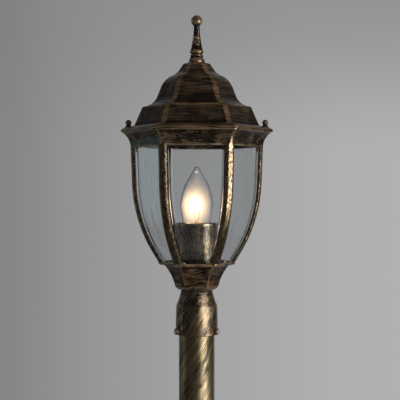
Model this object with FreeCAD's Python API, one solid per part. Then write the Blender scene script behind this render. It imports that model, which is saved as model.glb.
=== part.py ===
import FreeCAD, Part
import math
import os

# A six-sided lantern on a round pole and a round cast base. +Z is up, and the origin is the
# centre of the base on the floor. Two flat faces of the lantern look along -Y and +Y, and two
# of its six corners lie on the X axis. Sizes are millimetres. A "corner radius" is measured
# from the axis to a corner of the hexagon, over the small flat that blunts the corner.

# ---- driving dimensions: base
base_radius = 105.0
rim_height = 13.5
rim_chamfer = 2.0
step_radius = 79.0
step_height = 3.0
step_bevel = 1.5
dome_sag = 10.5
dome_height = 57.5
dome_shoulder = 3.0
collar_bead_height = 6.0
collar_bead_swell = 2.5
collar_wall = 6.0
collar_height = 29.0
collar_lip = 1.5
gasket_thickness = 2.5
gasket_width = 7.5
gasket_inset = 0.5
chamber_radius = 68.0
chamber_height = 41.5
chamber_ceiling_radius = 26.0
chamber_side_height = 11.0
chamber_sag = 2.8
pole_seat_height = 47.5
lead_hole_radius = 16.0
anchor_count = 4
anchor_circle_radius = 91.0
anchor_hole_radius = 4.5
anchor_azimuth = 45.0
cover_thickness = 2.0
cover_gap = 0.3
cover_screw_count = 4
cover_screw_circle = 58.0
cover_screw_length = 9.0
cover_boss_radius = 5.0
grommet_bore = 3.75
grommet_wall = 1.7
grommet_flange_radius = 6.4
grommet_flange_thickness = 2.0
grommet_length = 14.0
terminal_distance = 20.0
terminal_width = 18.0
terminal_depth = 30.0
terminal_height = 14.0
terminal_contact_count = 3
terminal_contact_pitch = 9.0
terminal_contact_radius = 2.2
terminal_contact_rise = 4.5
earth_screw_distance = 21.0
earth_screw_radius = 2.0
earth_screw_length = 5.0
earth_head_radius = 3.5
earth_head_height = 2.4

# ---- driving dimensions: pole and internal lead
pole_radius = 19.0
pole_wall = 2.0
pole_length = 816.0
pole_clearance = 0.06
lead_radius = 3.0
lead_swivel_drop = 11.0
lead_bend_height = 49.5
lead_bend_drop = 20.0
lead_bend_radius = 22.0

# ---- driving dimensions: fitter
fitter_height = 45.6
fitter_socket_depth = 24.9
fitter_wall = 3.6
fitter_taper = 0.6
fitter_waist_height = 29.8
fitter_neck_sag = 0.3
fitter_top_radius = 17.2
fitter_band = 1.8
fitter_cavity_radius = 14.0
fitter_top_plate = 6.7
lock_screw_radius = 2.45
lock_screw_gap = 0.05
lock_head_radius = 3.4
lock_head_height = 3.3
lock_head_round = 0.6
lock_socket_radius = 1.7
lock_socket_depth = 2.3
lock_tip_gap = 0.04
lock_screw_height = 4.1
pole_lock_height = 13.0
lock_azimuths = {"left": 210.0, "right": 330.0, "rear": 90.0}

# ---- driving dimensions: nipple and what it clamps
nipple_radius = 5.0
nipple_bore = 3.6
nipple_gap = 0.05
nut_across_flats = 14.0
nut_thickness = 4.0
nipple_tail = 1.5
neck_gasket_radius = 16.6
neck_gasket_thickness = 1.6
cup_washer_radius = 9.0
cup_washer_thickness = 1.0
holder_collar_radius = 7.5
holder_collar_height = 11.2
nipple_grip = 3.5

# ---- driving dimensions: cup under the cage
cup_height = 26.6
cup_setback = 4.7
cup_lip_width = 2.3
cup_lip_height = 1.0
cup_cove_sag = 1.55
cup_foot_radius = 22.85
cup_foot_drop = 23.6
cup_sole_radius = 19.4
cup_wall = 2.8
cup_floor = 5.0
cup_screw_count = 3
cup_screw_circle = 27.6
cup_screw_length = 8.0
cup_boss_radius = 2.8
cup_boss_depth = 6.5

# ---- driving dimensions: cage
ring_thickness = 3.1
ring_margin = 0.1
ring_undercut = 1.0
ring_hole_radius = 24.5
rib_height = 121.5
rib_foot_radius = 40.9
rib_top_radius = 70.35
rib_top_lean = 2.2
rib_bend_height = 43.15
rib_bend_radius = 152.0
rib_width = 10.0
rib_depth = 4.8
rib_chamfer = 1.6
rib_root = 2.5
frieze_height = 16.3
frieze_flare = 8.85
frieze_bead = 1.3
frieze_bead_width = 1.2
frieze_cove_sag = 1.8
frieze_wall = 3.1
frieze_rim_width = 4.6
corner_flat = 2.8
knob_boss_radius = 4.5
knob_boss_depth = 5.5

# ---- driving dimensions: glass and its clips
glass_thickness = 3.0
glass_setback = 1.3
glass_edge_gap = 3.2
glass_overlap = 5.5
clip_thickness = 1.0
clip_width = 8.0
clip_reach = 2.8
clip_rise = 2.8
clip_boss_radius = 2.6
clip_boss_clearance = 1.0
small_screw_radius = 1.5
small_screw_gap = 0.05
small_head_radius = 2.6
small_head_height = 1.6
clip_screw_length = 6.0
head_side_share = 0.98
head_side_rise = 0.55
head_crown_share = 0.72
slot_width_share = 0.28
slot_floor_share = 0.45

# ---- driving dimensions: roof
roof_crown_radius = 14.0
roof_cap_radius = 19.6
roof_cap_drop = 8.3
roof_kick_radius = 27.8
roof_kick_drop = 13.4
roof_kick_sag = 0.55
roof_shoulder_radius = 38.4
roof_shoulder_drop = 25.8
roof_shoulder_swell = 1.4
roof_bell_radius = 41.5
roof_bell_drop = 34.0
roof_flare_drop = 45.6
roof_flare_sag = 2.9
roof_ledge_width = 1.2
roof_ledge_drop = 47.0
roof_skirt_run = 8.3
roof_skirt_sag = 0.2
roof_height = 72.5
lip_overhang = 1.8
lip_width = 14.5
lip_inner_height = 6.8
lip_slope_width = 4.5
lip_slope_height = 5.1
lip_edge_height = 2.4
lip_foot_step = 0.4
roof_wall = 2.6
roof_wall_sink = 1.4
roof_crown_thickness = 7.0
hip_flat = 6.3

# ---- driving dimensions: ball-headed screws on the roof's lip
knob_inset = 6.5
knob_seat_drop = 67.2
knob_pad_radius = 4.9
knob_base_radius = 4.4
knob_neck_radius = 2.4
knob_flare_sag = 0.4
knob_ball_radius = 3.2
knob_ball_height = 4.6
knob_shank_radius = 2.0
knob_shank_gap = 0.05
knob_roof_gap = 0.2
knob_thread_depth = 3.2

# ---- driving dimensions: finial
finial_ball_radius = 6.0
finial_ball_height = 45.8
finial_neck_radius = 3.2
finial_neck_height = 38.0
finial_neck_sag = 0.35
finial_stem_radius = 4.9
finial_stem_height = 22.6
finial_stem_sag = 0.35
finial_shoulder_radius = 7.25
finial_shoulder_height = 13.1
finial_shoulder_swell = 0.55
finial_groove_radius = 6.1
finial_groove_height = 11.0
finial_bead_top = 9.9
finial_bead_swell = 0.45
finial_bell_neck_radius = 6.6
finial_bell_neck_height = 7.7
finial_bell_radius = 8.65
finial_bell_height = 2.0
finial_bell_step = 0.5
finial_bell_swell = 0.3
finial_stud_radius = 3.0
finial_stud_gap = 0.05
finial_stud_depth = 12.0
finial_washer_radius = 6.5
finial_washer_thickness = 1.2
finial_nut_across_flats = 10.0
finial_nut_thickness = 4.0
finial_stud_tail = 1.5

# ---- driving dimensions: lampholder, sleeve and bulb
sleeve_radius = 22.65
sleeve_wall = 1.2
sleeve_height = 49.9
sleeve_floor = 1.5
holder_radius = 19.5
holder_height = 45.0
holder_foot_radius = 14.5
holder_foot_height = 6.0
holder_floor = 6.0
holder_bore = 14.2
holder_mouth_radius = 15.4
holder_mouth_depth = 7.0
shell_gap = 0.05
shell_wall = 0.6
shell_height = 26.0
shell_rise = 3.0
contact_width = 6.0
contact_thickness = 0.6
contact_length = 20.0
contact_rise = 1.9
contact_flat = 7.0
cap_radius = 13.2
cap_height = 23.0
cap_wall = 0.5
cap_rise = 3.3
insulator_radius = 7.0
button_radius = 4.4
button_height = 0.8
bulb_height = 99.4
bulb_neck_radius = 12.6
bulb_low_radius = 15.6
bulb_low_drop = 54.2
bulb_belly_radius = 17.5
bulb_belly_drop = 39.5
bulb_high_radius = 15.4
bulb_high_drop = 27.0
bulb_shoulder_radius = 11.6
bulb_shoulder_drop = 16.6
bulb_tip_radius = 3.3
bulb_tip_drop = 2.6
bulb_wall = 0.7
bulb_neck_depth = 4.0
stem_radius = 2.2
stem_foot_radius = 7.0
stem_foot_height = 4.0
stem_height = 17.0
filament_ring_radius = 7.0
filament_radius = 0.5
filament_rise = 33.0
filament_open_angle = 70.0
wire_radius = 0.3

# ---- worked-out radii
collar_radius = pole_radius + collar_wall
dome_neck_radius = collar_radius + dome_shoulder
fitter_foot_radius = pole_radius + fitter_wall
fitter_waist_radius = fitter_foot_radius - fitter_taper
ring_radius = rib_foot_radius + ring_margin
cup_top_radius = ring_radius - cup_setback
cup_lip_radius = cup_top_radius - cup_lip_width
frieze_top_radius = rib_top_radius + frieze_flare
frieze_cove_radius = frieze_top_radius - frieze_bead_width
lip_edge_radius = frieze_top_radius + lip_overhang
lip_slope_radius = lip_edge_radius - lip_slope_width
roof_skirt_radius = lip_edge_radius - lip_width
roof_ledge_radius = roof_skirt_radius - roof_skirt_run
roof_flare_radius = roof_ledge_radius - roof_ledge_width
knob_circle_radius = frieze_top_radius - knob_inset

# ---- worked-out levels, from the floor up
tiny = 0.001
past = 1.0
cos30 = math.cos(math.radians(30))
tan60 = math.tan(math.radians(60))
casting_floor = gasket_thickness
rim_top = casting_floor + rim_height
collar_foot = casting_floor + dome_height + collar_bead_height
collar_top = collar_foot + collar_height
pole_seat = casting_floor + pole_seat_height
pole_top = pole_seat + pole_length
fitter_floor = pole_top - fitter_socket_depth
fitter_top = fitter_floor + fitter_height
cup_floor_level = fitter_top + neck_gasket_thickness
cup_top = cup_floor_level + cup_height
ring_top = cup_top + ring_thickness
frieze_floor = ring_top + rib_height
cage_top = frieze_floor + frieze_height
roof_top = cage_top + roof_height
cup_washer_floor = cup_floor_level + cup_floor
cup_nut_floor = cup_washer_floor + cup_washer_thickness
holder_collar_floor = cup_nut_floor + nut_thickness
sleeve_foot = holder_collar_floor + holder_collar_height
holder_floor_level = sleeve_foot + sleeve_floor
holder_cavity_floor = holder_floor_level + holder_floor
button_floor = holder_cavity_floor + contact_rise + contact_thickness
cap_floor = button_floor + cap_rise
cap_top = cap_floor + cap_height
bulb_top = button_floor + bulb_height
bulb_neck_floor = cap_top - bulb_neck_depth
nipple_floor = fitter_top - fitter_top_plate - nut_thickness - nipple_tail
nipple_top = holder_floor_level + nipple_grip
lead_swivel_level = pole_top - lead_swivel_drop
corner_cut = corner_flat / 2 / tan60
hip_cut = hip_flat / 2 / tan60


def vec(x, y, z):
    return FreeCAD.Vector(x, y, z)


z_axis = vec(0, 0, 1)
y_axis = vec(0, 1, 0)
origin = vec(0, 0, 0)


def outline(points, squeeze=1.0):
    # a closed flat face in the XZ plane; each point is (radius, height), reached by a straight
    # line, or (middle radius, middle height, radius, height), reached by an arc
    edges = []
    first = vec(points[0][0] * squeeze, 0, points[0][1])
    last = first
    for point in points[1:]:
        end = vec(point[-2] * squeeze, 0, point[-1])
        if len(point) == 4:
            middle = vec(point[0] * squeeze, 0, point[1])
            edges.append(Part.Arc(last, middle, end).toShape())
        else:
            edges.append(Part.LineSegment(last, end).toShape())
        last = end
    edges.append(Part.LineSegment(last, first).toShape())
    return Part.Face(Part.Wire(edges))


def bowed(start, end, sag):
    # an arc between two points of an outline, which stands off its chord by the sag, to the right
    # of the way from start to end
    run = end[0] - start[0]
    rise = end[1] - start[1]
    chord = math.hypot(run, rise)
    middle_radius = (start[0] + end[0]) / 2 + sag * rise / chord
    middle_height = (start[1] + end[1]) / 2 - sag * run / chord
    return (middle_radius, middle_height) + tuple(end)


def cap_arc(radius, foot, top):
    # the arc that closes a turned shape over its axis with part of a true sphere
    rise = top - foot
    ball = (radius ** 2 + rise ** 2) / (2 * rise)
    half = math.asin(radius / ball) / 2
    return (ball * math.sin(half), top - ball * (1 - math.cos(half)), 0, top)


def turned(points):
    return outline(points).revolve(origin, z_axis, 360)


def fuse(shapes):
    joined = shapes[0]
    if len(shapes) > 1:
        joined = shapes[0].multiFuse(shapes[1:])
    return joined.removeSplitter()


def around(shape, azimuth):
    copy = shape.copy()
    copy.rotate(origin, z_axis, azimuth)
    return copy


def ring_of(shape, count, first_azimuth):
    return [around(shape, first_azimuth + 360.0 * step / count) for step in range(count)]


def wedge(apex_distance, reach):
    # a tall prism that opens by 30 degrees to each side of +X from a point on the X axis
    half = (reach - apex_distance) * math.tan(math.radians(30))
    low = -reach
    corners = [vec(apex_distance, 0, low), vec(reach, -half, low), vec(reach, half, low)]
    face = Part.Face(Part.makePolygon(corners + corners[:1]))
    return face.extrude(vec(0, 0, 4 * roof_top))


def side_slab(points, apex_distance=0.0, squeeze=cos30):
    # one side of a hexagon, facing +X: the outline drawn sideways and trimmed to its sixth
    reach = 3 * lip_edge_radius
    slab = outline(points, squeeze).extrude(vec(0, 2 * reach, 0))
    slab.translate(vec(0, -reach, 0))
    return slab.common(wedge(apex_distance, reach))


def six_sided(points):
    # flat faces at 30, 90, 150 ... degrees, so that corners lie at 0, 60, 120 ...
    return fuse(ring_of(side_slab(points), 6, 30.0))


def corner_flats(points):
    # the hexagon turned by 30 degrees, whose flat faces blunt the corners
    return fuse(ring_of(side_slab(points, squeeze=1.0), 6, 0.0))


def grown(points, amount):
    # moves an outline outwards, apart from its points on the axis
    moved = []
    for point in points:
        values = list(point)
        for place in range(0, len(values), 2):
            if values[place] > tiny:
                values[place] += amount
        moved.append(tuple(values))
    return moved


def six_sided_blunt(points, cut):
    return six_sided(grown(points, cut)).common(corner_flats(points))


def hex_prism(across_flats, floor, height):
    radius = across_flats / 2 / cos30
    corners = []
    for side in range(7):
        angle = math.radians(60 * side)
        corners.append(vec(radius * math.cos(angle), radius * math.sin(angle), floor))
    return Part.Face(Part.makePolygon(corners)).extrude(vec(0, 0, height))


def rod(radius, floor, height, x=0.0, y=0.0):
    return Part.makeCylinder(radius, height, vec(x, y, floor), z_axis)


def aimed(shape, reach, height, azimuth):
    # a shape drawn along +Z is laid outwards along the radius at this azimuth
    laid = shape.copy()
    laid.rotate(origin, y_axis, 90)
    laid.translate(vec(reach, 0, height))
    return around(laid, azimuth)


def pan_screw(shank, length, head, head_height):
    # a small screw along +Z, with its head's seat at the origin and a straight slot
    points = [(0, -length), (shank, -length), (shank, 0), (head, 0)]
    points += [(head * head_side_share, head_height * head_side_rise,
                head * head_crown_share, head_height), (0, head_height)]
    screw = turned(points)
    slot_width = head * slot_width_share
    slot = Part.makeBox(4 * head, slot_width, head_height)
    slot.translate(vec(-2 * head, -slot_width / 2, head_height * slot_floor_share))
    return screw.cut(slot)


def lock_screw(length):
    # a round-headed screw with a deep six-sided socket, so that its head looks like a ring
    edge = lock_head_height - lock_head_round
    bulge = lock_head_round * math.sqrt(0.5)
    points = [(0, -length), (lock_screw_radius, -length), (lock_screw_radius, 0)]
    points += [(lock_head_radius, 0), (lock_head_radius, edge)]
    points += [(lock_head_radius - lock_head_round + bulge, edge + bulge,
                lock_head_radius - lock_head_round, lock_head_height), (0, lock_head_height)]
    socket_floor = lock_head_height - lock_socket_depth
    socket = hex_prism(2 * lock_socket_radius, socket_floor, lock_socket_depth + tiny)
    return turned(points).cut(socket)


def save(name, shape):
    for solid in shape.Solids:
        if not solid.isValid():
            print("not valid:", name)
    shape.exportStep("parts/" + name + ".step")
    volume = sum(solid.Volume for solid in shape.Solids)
    print(name, len(shape.Solids), "solids", round(volume / 1000, 3), "cm3")


def group(solids):
    return Part.makeCompound(solids)


def make_base():
    dome_neck = casting_floor + dome_height
    bead_middle = dome_neck + collar_bead_height / 2
    step_top = rim_top + step_height
    dome_foot = (step_radius - step_bevel, step_top)
    outer = [(0, casting_floor), (base_radius, casting_floor), (base_radius, rim_top - rim_chamfer),
             (base_radius - rim_chamfer, rim_top), (step_radius, rim_top),
             (step_radius, step_top - step_bevel), dome_foot,
             bowed(dome_foot, (dome_neck_radius, dome_neck), -dome_sag),
             (dome_neck_radius + collar_bead_swell, bead_middle, dome_neck_radius, collar_foot),
             (collar_radius, collar_foot), (collar_radius, collar_top - collar_lip),
             (collar_radius - collar_lip, collar_top), (0, collar_top)]
    body = turned(outer)
    ceiling = casting_floor + chamber_height
    chamber_side = (chamber_radius, casting_floor + chamber_side_height)
    chamber = turned([(0, casting_floor - past), (chamber_radius, casting_floor - past), chamber_side,
                      bowed(chamber_side, (chamber_ceiling_radius, ceiling), -chamber_sag),
                      (0, ceiling)])
    bore = rod(pole_radius + pole_clearance, pole_seat, collar_top - pole_seat + past)
    casting = body.cut(chamber).cut(bore)
    casting = casting.cut(rod(lead_hole_radius, ceiling - past, pole_seat - ceiling + 2 * past))
    cover_top = casting_floor + cover_thickness
    boss = rod(cover_boss_radius, cover_top, chamber_height, cover_screw_circle)
    bosses = [one.common(body) for one in ring_of(boss, cover_screw_count, 0.0)]
    casting = fuse([casting] + bosses)
    cover_hole = rod(small_screw_radius + small_screw_gap, cover_top - past, cover_screw_length,
                     cover_screw_circle)
    anchor = rod(anchor_hole_radius, 0, rim_top + step_height, anchor_circle_radius)
    holes = ring_of(cover_hole, cover_screw_count, 0.0)
    holes += ring_of(anchor, anchor_count, anchor_azimuth)
    grommet_seat = grommet_bore + grommet_wall + small_screw_gap
    inlet_run = base_radius - chamber_radius + cover_boss_radius
    inlet = Part.makeCylinder(grommet_seat, inlet_run)
    holes.append(aimed(inlet, base_radius - inlet_run, inlet_level(), 90.0))
    flange_depth = grommet_flange_thickness + grommet_setback()
    flange_seat = Part.makeCylinder(grommet_flange_radius + small_screw_gap, flange_depth + past)
    holes.append(aimed(flange_seat, base_radius - flange_depth, inlet_level(), 90.0))
    holes.append(rod(earth_screw_radius + small_screw_gap, ceiling - past, earth_screw_length + past,
                     -earth_screw_distance))
    reach = collar_radius - pole_radius
    lock_hole = Part.makeCylinder(lock_screw_radius + lock_screw_gap, 2 * reach)
    for azimuth in lock_azimuths.values():
        holes.append(aimed(lock_hole, pole_radius - past, collar_foot + pole_lock_height, azimuth))
    save("base_casting", casting.cut(holes))


def inlet_level():
    return casting_floor + rim_height / 2


def grommet_setback():
    # how far the round rim falls back beside the middle of the inlet
    side = grommet_flange_radius + small_screw_gap
    return base_radius - math.sqrt(base_radius ** 2 - side ** 2)


def make_base_fittings():
    outer = base_radius - gasket_inset
    gasket = rod(outer, 0, gasket_thickness)
    save("base_gasket", gasket.cut(rod(outer - gasket_width, 0, gasket_thickness)))
    cover = rod(chamber_radius - cover_gap, casting_floor, cover_thickness)
    hole = rod(small_screw_radius + small_screw_gap, 0, casting_floor + 2 * cover_thickness,
               cover_screw_circle)
    save("bottom_cover", cover.cut(ring_of(hole, cover_screw_count, 0.0)))
    shank = cover_screw_length - past
    screw = pan_screw(small_screw_radius, shank, small_head_radius, small_head_height)
    screw.rotate(origin, y_axis, 180)
    screw.translate(vec(cover_screw_circle, 0, casting_floor))
    save("cover_screws", group(ring_of(screw, cover_screw_count, 0.0)))
    grommet_radius = grommet_bore + grommet_wall
    points = [(grommet_bore, -grommet_length), (grommet_radius, -grommet_length),
              (grommet_radius, -grommet_flange_thickness),
              (grommet_flange_radius, -grommet_flange_thickness), (grommet_flange_radius, 0),
              (grommet_bore, 0)]
    reach = base_radius - grommet_setback()
    save("cable_grommet", aimed(turned(points), reach, inlet_level(), 90.0))
    ceiling = casting_floor + chamber_height
    shank = earth_screw_length - past
    earth = pan_screw(earth_screw_radius, shank, earth_head_radius, earth_head_height)
    earth.rotate(origin, y_axis, 180)
    earth.translate(vec(-earth_screw_distance, 0, ceiling))
    save("earth_screw", earth)


def terminal_top():
    return casting_floor + cover_thickness + terminal_height


def make_terminal_block():
    floor = casting_floor + cover_thickness
    block = Part.makeBox(terminal_width, terminal_depth, terminal_height)
    block.translate(vec(terminal_distance - terminal_width / 2, -terminal_depth / 2, floor))
    contacts = []
    for number in range(terminal_contact_count):
        side = (number - (terminal_contact_count - 1) / 2) * terminal_contact_pitch
        start = vec(terminal_distance - terminal_width / 2, side, floor + terminal_contact_rise)
        bore = Part.makeCylinder(terminal_contact_radius, terminal_width, start, vec(1, 0, 0))
        block = block.cut(bore)
        wire_hole = Part.makeCylinder(terminal_contact_radius / 2, terminal_width, start, vec(1, 0, 0))
        contacts.append(bore.cut(wire_hole))
    save("terminal_block", block)
    save("terminal_contacts", group(contacts))


def lead_tube(path_points, bend_radius):
    # a round tube along straight runs joined by tangent arcs of one radius
    edges = []
    last = path_points[0]
    straight = 0.0
    arcs = 0.0
    for before, corner, after in zip(path_points, path_points[1:], path_points[2:]):
        way_in = (corner - before).normalize()
        way_out = (after - corner).normalize()
        turn = way_in.getAngle(way_out)
        tangent = bend_radius * math.tan(turn / 2)
        start = corner - way_in * tangent
        end = corner + way_out * tangent
        inwards = (way_out - way_in).normalize()
        centre_distance = bend_radius / math.cos(turn / 2)
        middle = corner + inwards * (centre_distance - bend_radius)
        edges.append(Part.LineSegment(last, start).toShape())
        edges.append(Part.Arc(start, middle, end).toShape())
        straight += (start - last).Length
        arcs += bend_radius * turn
        print("lead bend radius", bend_radius, "turn", round(math.degrees(turn), 1))
        last = end
    edges.append(Part.LineSegment(last, path_points[-1]).toShape())
    straight += (path_points[-1] - last).Length
    direction = (path_points[1] - path_points[0]).normalize()
    section = Part.Wire(Part.makeCircle(lead_radius, path_points[0], direction))
    tube = Part.Wire(edges).makePipeShell([section], True, True)
    expected = math.pi * lead_radius ** 2 * (straight + arcs)
    print("lead length", round(straight + arcs, 1), "volume ratio", round(tube.Volume / expected, 5))
    return tube


def make_pole_and_lead():
    pole = rod(pole_radius, pole_seat, pole_length)
    save("pole", pole.cut(rod(pole_radius - pole_wall, pole_seat, pole_length)))
    screw = lock_screw(collar_radius - pole_radius - lock_tip_gap)
    level = collar_foot + pole_lock_height
    screws = [aimed(screw, collar_radius, level, azimuth) for azimuth in lock_azimuths.values()]
    save("pole_lock_screws", group(screws))
    points = [vec(0, 0, lead_swivel_level), vec(0, 0, casting_floor + lead_bend_height),
              vec(terminal_distance, 0, casting_floor + lead_bend_height - lead_bend_drop),
              vec(terminal_distance, 0, terminal_top())]
    save("lead_lower", lead_tube(points, lead_bend_radius))
    lead_top = holder_cavity_floor
    save("lead_upper", rod(lead_radius, lead_swivel_level, lead_top - lead_swivel_level))


def make_fitter():
    top_edge = fitter_top - fitter_band
    waist = fitter_floor + fitter_waist_height
    outer = [(0, fitter_floor), (fitter_foot_radius, fitter_floor), (fitter_waist_radius, waist),
             bowed((fitter_waist_radius, waist), (fitter_top_radius, top_edge), -fitter_neck_sag),
             (fitter_top_radius, fitter_top), (0, fitter_top)]
    fitter = turned(outer)
    holes = [rod(pole_radius + pole_clearance, fitter_floor - past, fitter_socket_depth + past)]
    cavity_top = fitter_top - fitter_top_plate
    holes.append(rod(fitter_cavity_radius, fitter_floor, cavity_top - fitter_floor))
    holes.append(rod(nipple_radius + nipple_gap, fitter_floor, fitter_height + past))
    lock_hole = Part.makeCylinder(lock_screw_radius + lock_screw_gap, fitter_foot_radius)
    for azimuth in lock_azimuths.values():
        holes.append(aimed(lock_hole, pole_radius - past, fitter_floor + lock_screw_height, azimuth))
    save("fitter", fitter.cut(holes))
    for side, azimuth in lock_azimuths.items():
        seat = fitter_foot_radius + lock_screw_gap
        screw = lock_screw(seat - pole_radius - lock_tip_gap)
        placed = aimed(screw, seat, fitter_floor + lock_screw_height, azimuth)
        save("fitter_screw_" + side, placed)


def make_neck():
    hole = rod(nipple_radius + nipple_gap, fitter_floor, roof_top - fitter_floor)
    gasket = rod(neck_gasket_radius, fitter_top, neck_gasket_thickness)
    save("neck_gasket", gasket.cut(hole))
    nipple = rod(nipple_radius, nipple_floor, nipple_top - nipple_floor)
    save("nipple", nipple.cut(rod(nipple_bore, nipple_floor, nipple_top - nipple_floor)))
    nut_floor = fitter_top - fitter_top_plate - nut_thickness
    save("fitter_nut", hex_prism(nut_across_flats, nut_floor, nut_thickness).cut(hole))
    washer = rod(cup_washer_radius, cup_washer_floor, cup_washer_thickness)
    save("cup_washer", washer.cut(hole))
    save("cup_nut", hex_prism(nut_across_flats, cup_nut_floor, nut_thickness).cut(hole))
    collar = rod(holder_collar_radius, holder_collar_floor, holder_collar_height)
    save("holder_collar", collar.cut(hole))


def make_cup():
    def down(drop):
        return cup_top - drop
    foot = (cup_foot_radius, down(cup_foot_drop))
    outer = [(0, cup_floor_level), (cup_sole_radius, cup_floor_level), foot,
             bowed(foot, (cup_lip_radius, down(cup_lip_height)), -cup_cove_sag),
             (cup_top_radius, cup_top), (0, cup_top)]
    body = six_sided_blunt(outer, corner_cut)
    floor = cup_floor_level + cup_floor
    inner_foot = (cup_foot_radius - cup_wall, floor)
    inner_lip = (cup_lip_radius - cup_wall, down(cup_lip_height))
    inner = [(0, floor), inner_foot, bowed(inner_foot, inner_lip, -cup_cove_sag),
             (cup_lip_radius - cup_wall, cup_top + past), (0, cup_top + past)]
    cup = body.cut(six_sided(inner))
    boss = rod(cup_boss_radius, down(cup_boss_depth), cup_boss_depth, cup_screw_circle)
    bosses = [one.common(body) for one in ring_of(boss, cup_screw_count, 0.0)]
    cup = fuse([cup] + bosses)
    hole = rod(small_screw_radius + small_screw_gap, ring_top - cup_screw_length, cup_screw_length,
               cup_screw_circle)
    nipple_hole = rod(nipple_radius + nipple_gap, cup_floor_level - past, cup_floor + 2 * past)
    save("cup", cup.cut(ring_of(hole, cup_screw_count, 0.0) + [nipple_hole]))
    screw = pan_screw(small_screw_radius, cup_screw_length, small_head_radius, small_head_height)
    screw.translate(vec(cup_screw_circle, 0, ring_top))
    save("cup_screws", group(ring_of(screw, cup_screw_count, 0.0)))


def rib_line(shift, floor, top):
    # the rib's curve: a leaning top line and a foot line, with a round bend where they meet
    top_lean = math.radians(rib_top_lean)
    meet = rib_bend_height
    meet_radius = rib_top_radius - (rib_height - meet) * math.tan(top_lean)
    foot_lean = math.atan((meet_radius - rib_foot_radius) / meet)
    turn = foot_lean - top_lean
    tangent = rib_bend_radius * math.tan(turn / 2)
    back = rib_bend_radius / math.cos(turn / 2) - rib_bend_radius
    middle_lean = (top_lean + foot_lean) / 2
    high = (meet_radius + tangent * math.sin(top_lean), meet + tangent * math.cos(top_lean))
    low = (meet_radius - tangent * math.sin(foot_lean), meet - tangent * math.cos(foot_lean))
    middle = (meet_radius - back * math.cos(middle_lean), meet + back * math.sin(middle_lean))
    start = (rib_foot_radius - (ring_top - floor) * math.tan(foot_lean), floor - ring_top)
    end = (rib_top_radius + (top - frieze_floor) * math.tan(top_lean), top - ring_top)
    points = [start, low, middle + high, end]
    moved = []
    for point in points:
        values = list(point)
        for place in range(0, len(values), 2):
            values[place] += shift
            values[place + 1] += ring_top
        moved.append(tuple(values))
    return moved


def back_along(points):
    # the same line walked the other way
    ends = [point[-2:] for point in points]
    middles = [point[:2] if len(point) == 4 else () for point in points]
    walked = [ends[-1]]
    for place in range(len(points) - 2, -1, -1):
        walked.append(middles[place + 1] + ends[place])
    return walked


def make_rib():
    floor = ring_top - rib_root
    top = frieze_floor + rib_root
    points = rib_line(0.0, floor, top) + back_along(rib_line(-rib_depth, floor, top))
    bar = outline(points).extrude(vec(0, rib_width, 0))
    bar.translate(vec(0, -rib_width / 2, 0))
    long_edges = []
    for edge in bar.Edges:
        ends = [vertex.Point for vertex in edge.Vertexes]
        along = abs(ends[0].z - ends[1].z) > 2 * rib_width
        lengthwise = [rib_radius_at(point.z) - point.x for point in ends]
        if along and max(lengthwise) < rib_depth / 2:
            long_edges.append(edge)
    return bar.makeChamfer(rib_chamfer, long_edges)


def rib_radius_at(height):
    # the rib's outer radius at a height, read from its own lines and arc
    face = outline(rib_line(0.0, ring_top - rib_root, frieze_floor + rib_root)
                   + [(0, frieze_floor + rib_root), (0, ring_top - rib_root)])
    ray = Part.LineSegment(vec(0, 0, height), vec(2 * rib_top_radius, 0, height)).toShape()
    cut = face.common(ray)
    return cut.BoundBox.XMax


def frieze_outline():
    foot = (rib_top_radius, frieze_floor)
    return [(0, frieze_floor), foot,
            bowed(foot, (frieze_cove_radius, cage_top - frieze_bead), -frieze_cove_sag),
            (frieze_top_radius, cage_top - frieze_bead), (frieze_top_radius, cage_top), (0, cage_top)]


def make_cage():
    frieze_body = six_sided_blunt(frieze_outline(), corner_cut)
    rim_inner = frieze_top_radius - frieze_rim_width
    hollow_foot = (rib_top_radius - frieze_wall, frieze_floor)
    hollow = [(0, frieze_floor - past), (rib_top_radius - frieze_wall, frieze_floor - past), hollow_foot,
              bowed(hollow_foot, (rim_inner, cage_top - frieze_bead), -frieze_cove_sag),
              (rim_inner, cage_top + past), (0, cage_top + past)]
    frieze = frieze_body.cut(six_sided(hollow))
    boss = rod(knob_boss_radius, cage_top - knob_boss_depth, knob_boss_depth, knob_circle_radius)
    pieces = [frieze] + [one.common(frieze_body) for one in ring_of(boss, 2, 0.0)]
    clip_boss = Part.makeCylinder(clip_boss_radius, rib_top_radius * cos30 - clip_seat())
    pieces += ring_of(aimed(clip_boss, clip_seat(), clip_level(), 0.0), 6, 30.0)
    ring_points = [(0, cup_top), (ring_radius - ring_undercut, cup_top), (ring_radius, ring_top),
                   (0, ring_top)]
    ring_plate = six_sided_blunt(ring_points, corner_cut)
    pieces.append(ring_plate.cut(rod(ring_hole_radius, cup_top - past, ring_thickness + 2 * past)))
    pieces += ring_of(make_rib(), 6, 0.0)
    cage = fuse(pieces)
    knob_hole = rod(knob_shank_radius + knob_shank_gap, cage_top - knob_thread_depth - knob_shank_gap,
                    knob_thread_depth + past, knob_circle_radius)
    cup_hole = rod(small_screw_radius + small_screw_gap, cup_top - past, ring_thickness + 2 * past,
                   cup_screw_circle)
    clip_hole = Part.makeCylinder(small_screw_radius + small_screw_gap, clip_screw_length)
    holes = ring_of(knob_hole, 2, 0.0) + ring_of(cup_hole, cup_screw_count, 0.0)
    holes += ring_of(aimed(clip_hole, clip_seat(), clip_level(), 0.0), 6, 30.0)
    save("cage", cage.cut(holes))


def glass_line(inset, floor, top):
    # the panel's curve in the middle of a lantern side: it follows the back of the ribs
    points = []
    for point in rib_line(-rib_depth, floor, top):
        values = list(point)
        for place in range(0, len(values), 2):
            values[place] = values[place] * cos30 + glass_setback - inset
        points.append(tuple(values))
    return points


def glass_top():
    return frieze_floor + glass_overlap


def clip_foot():
    return glass_top() - clip_reach


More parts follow.
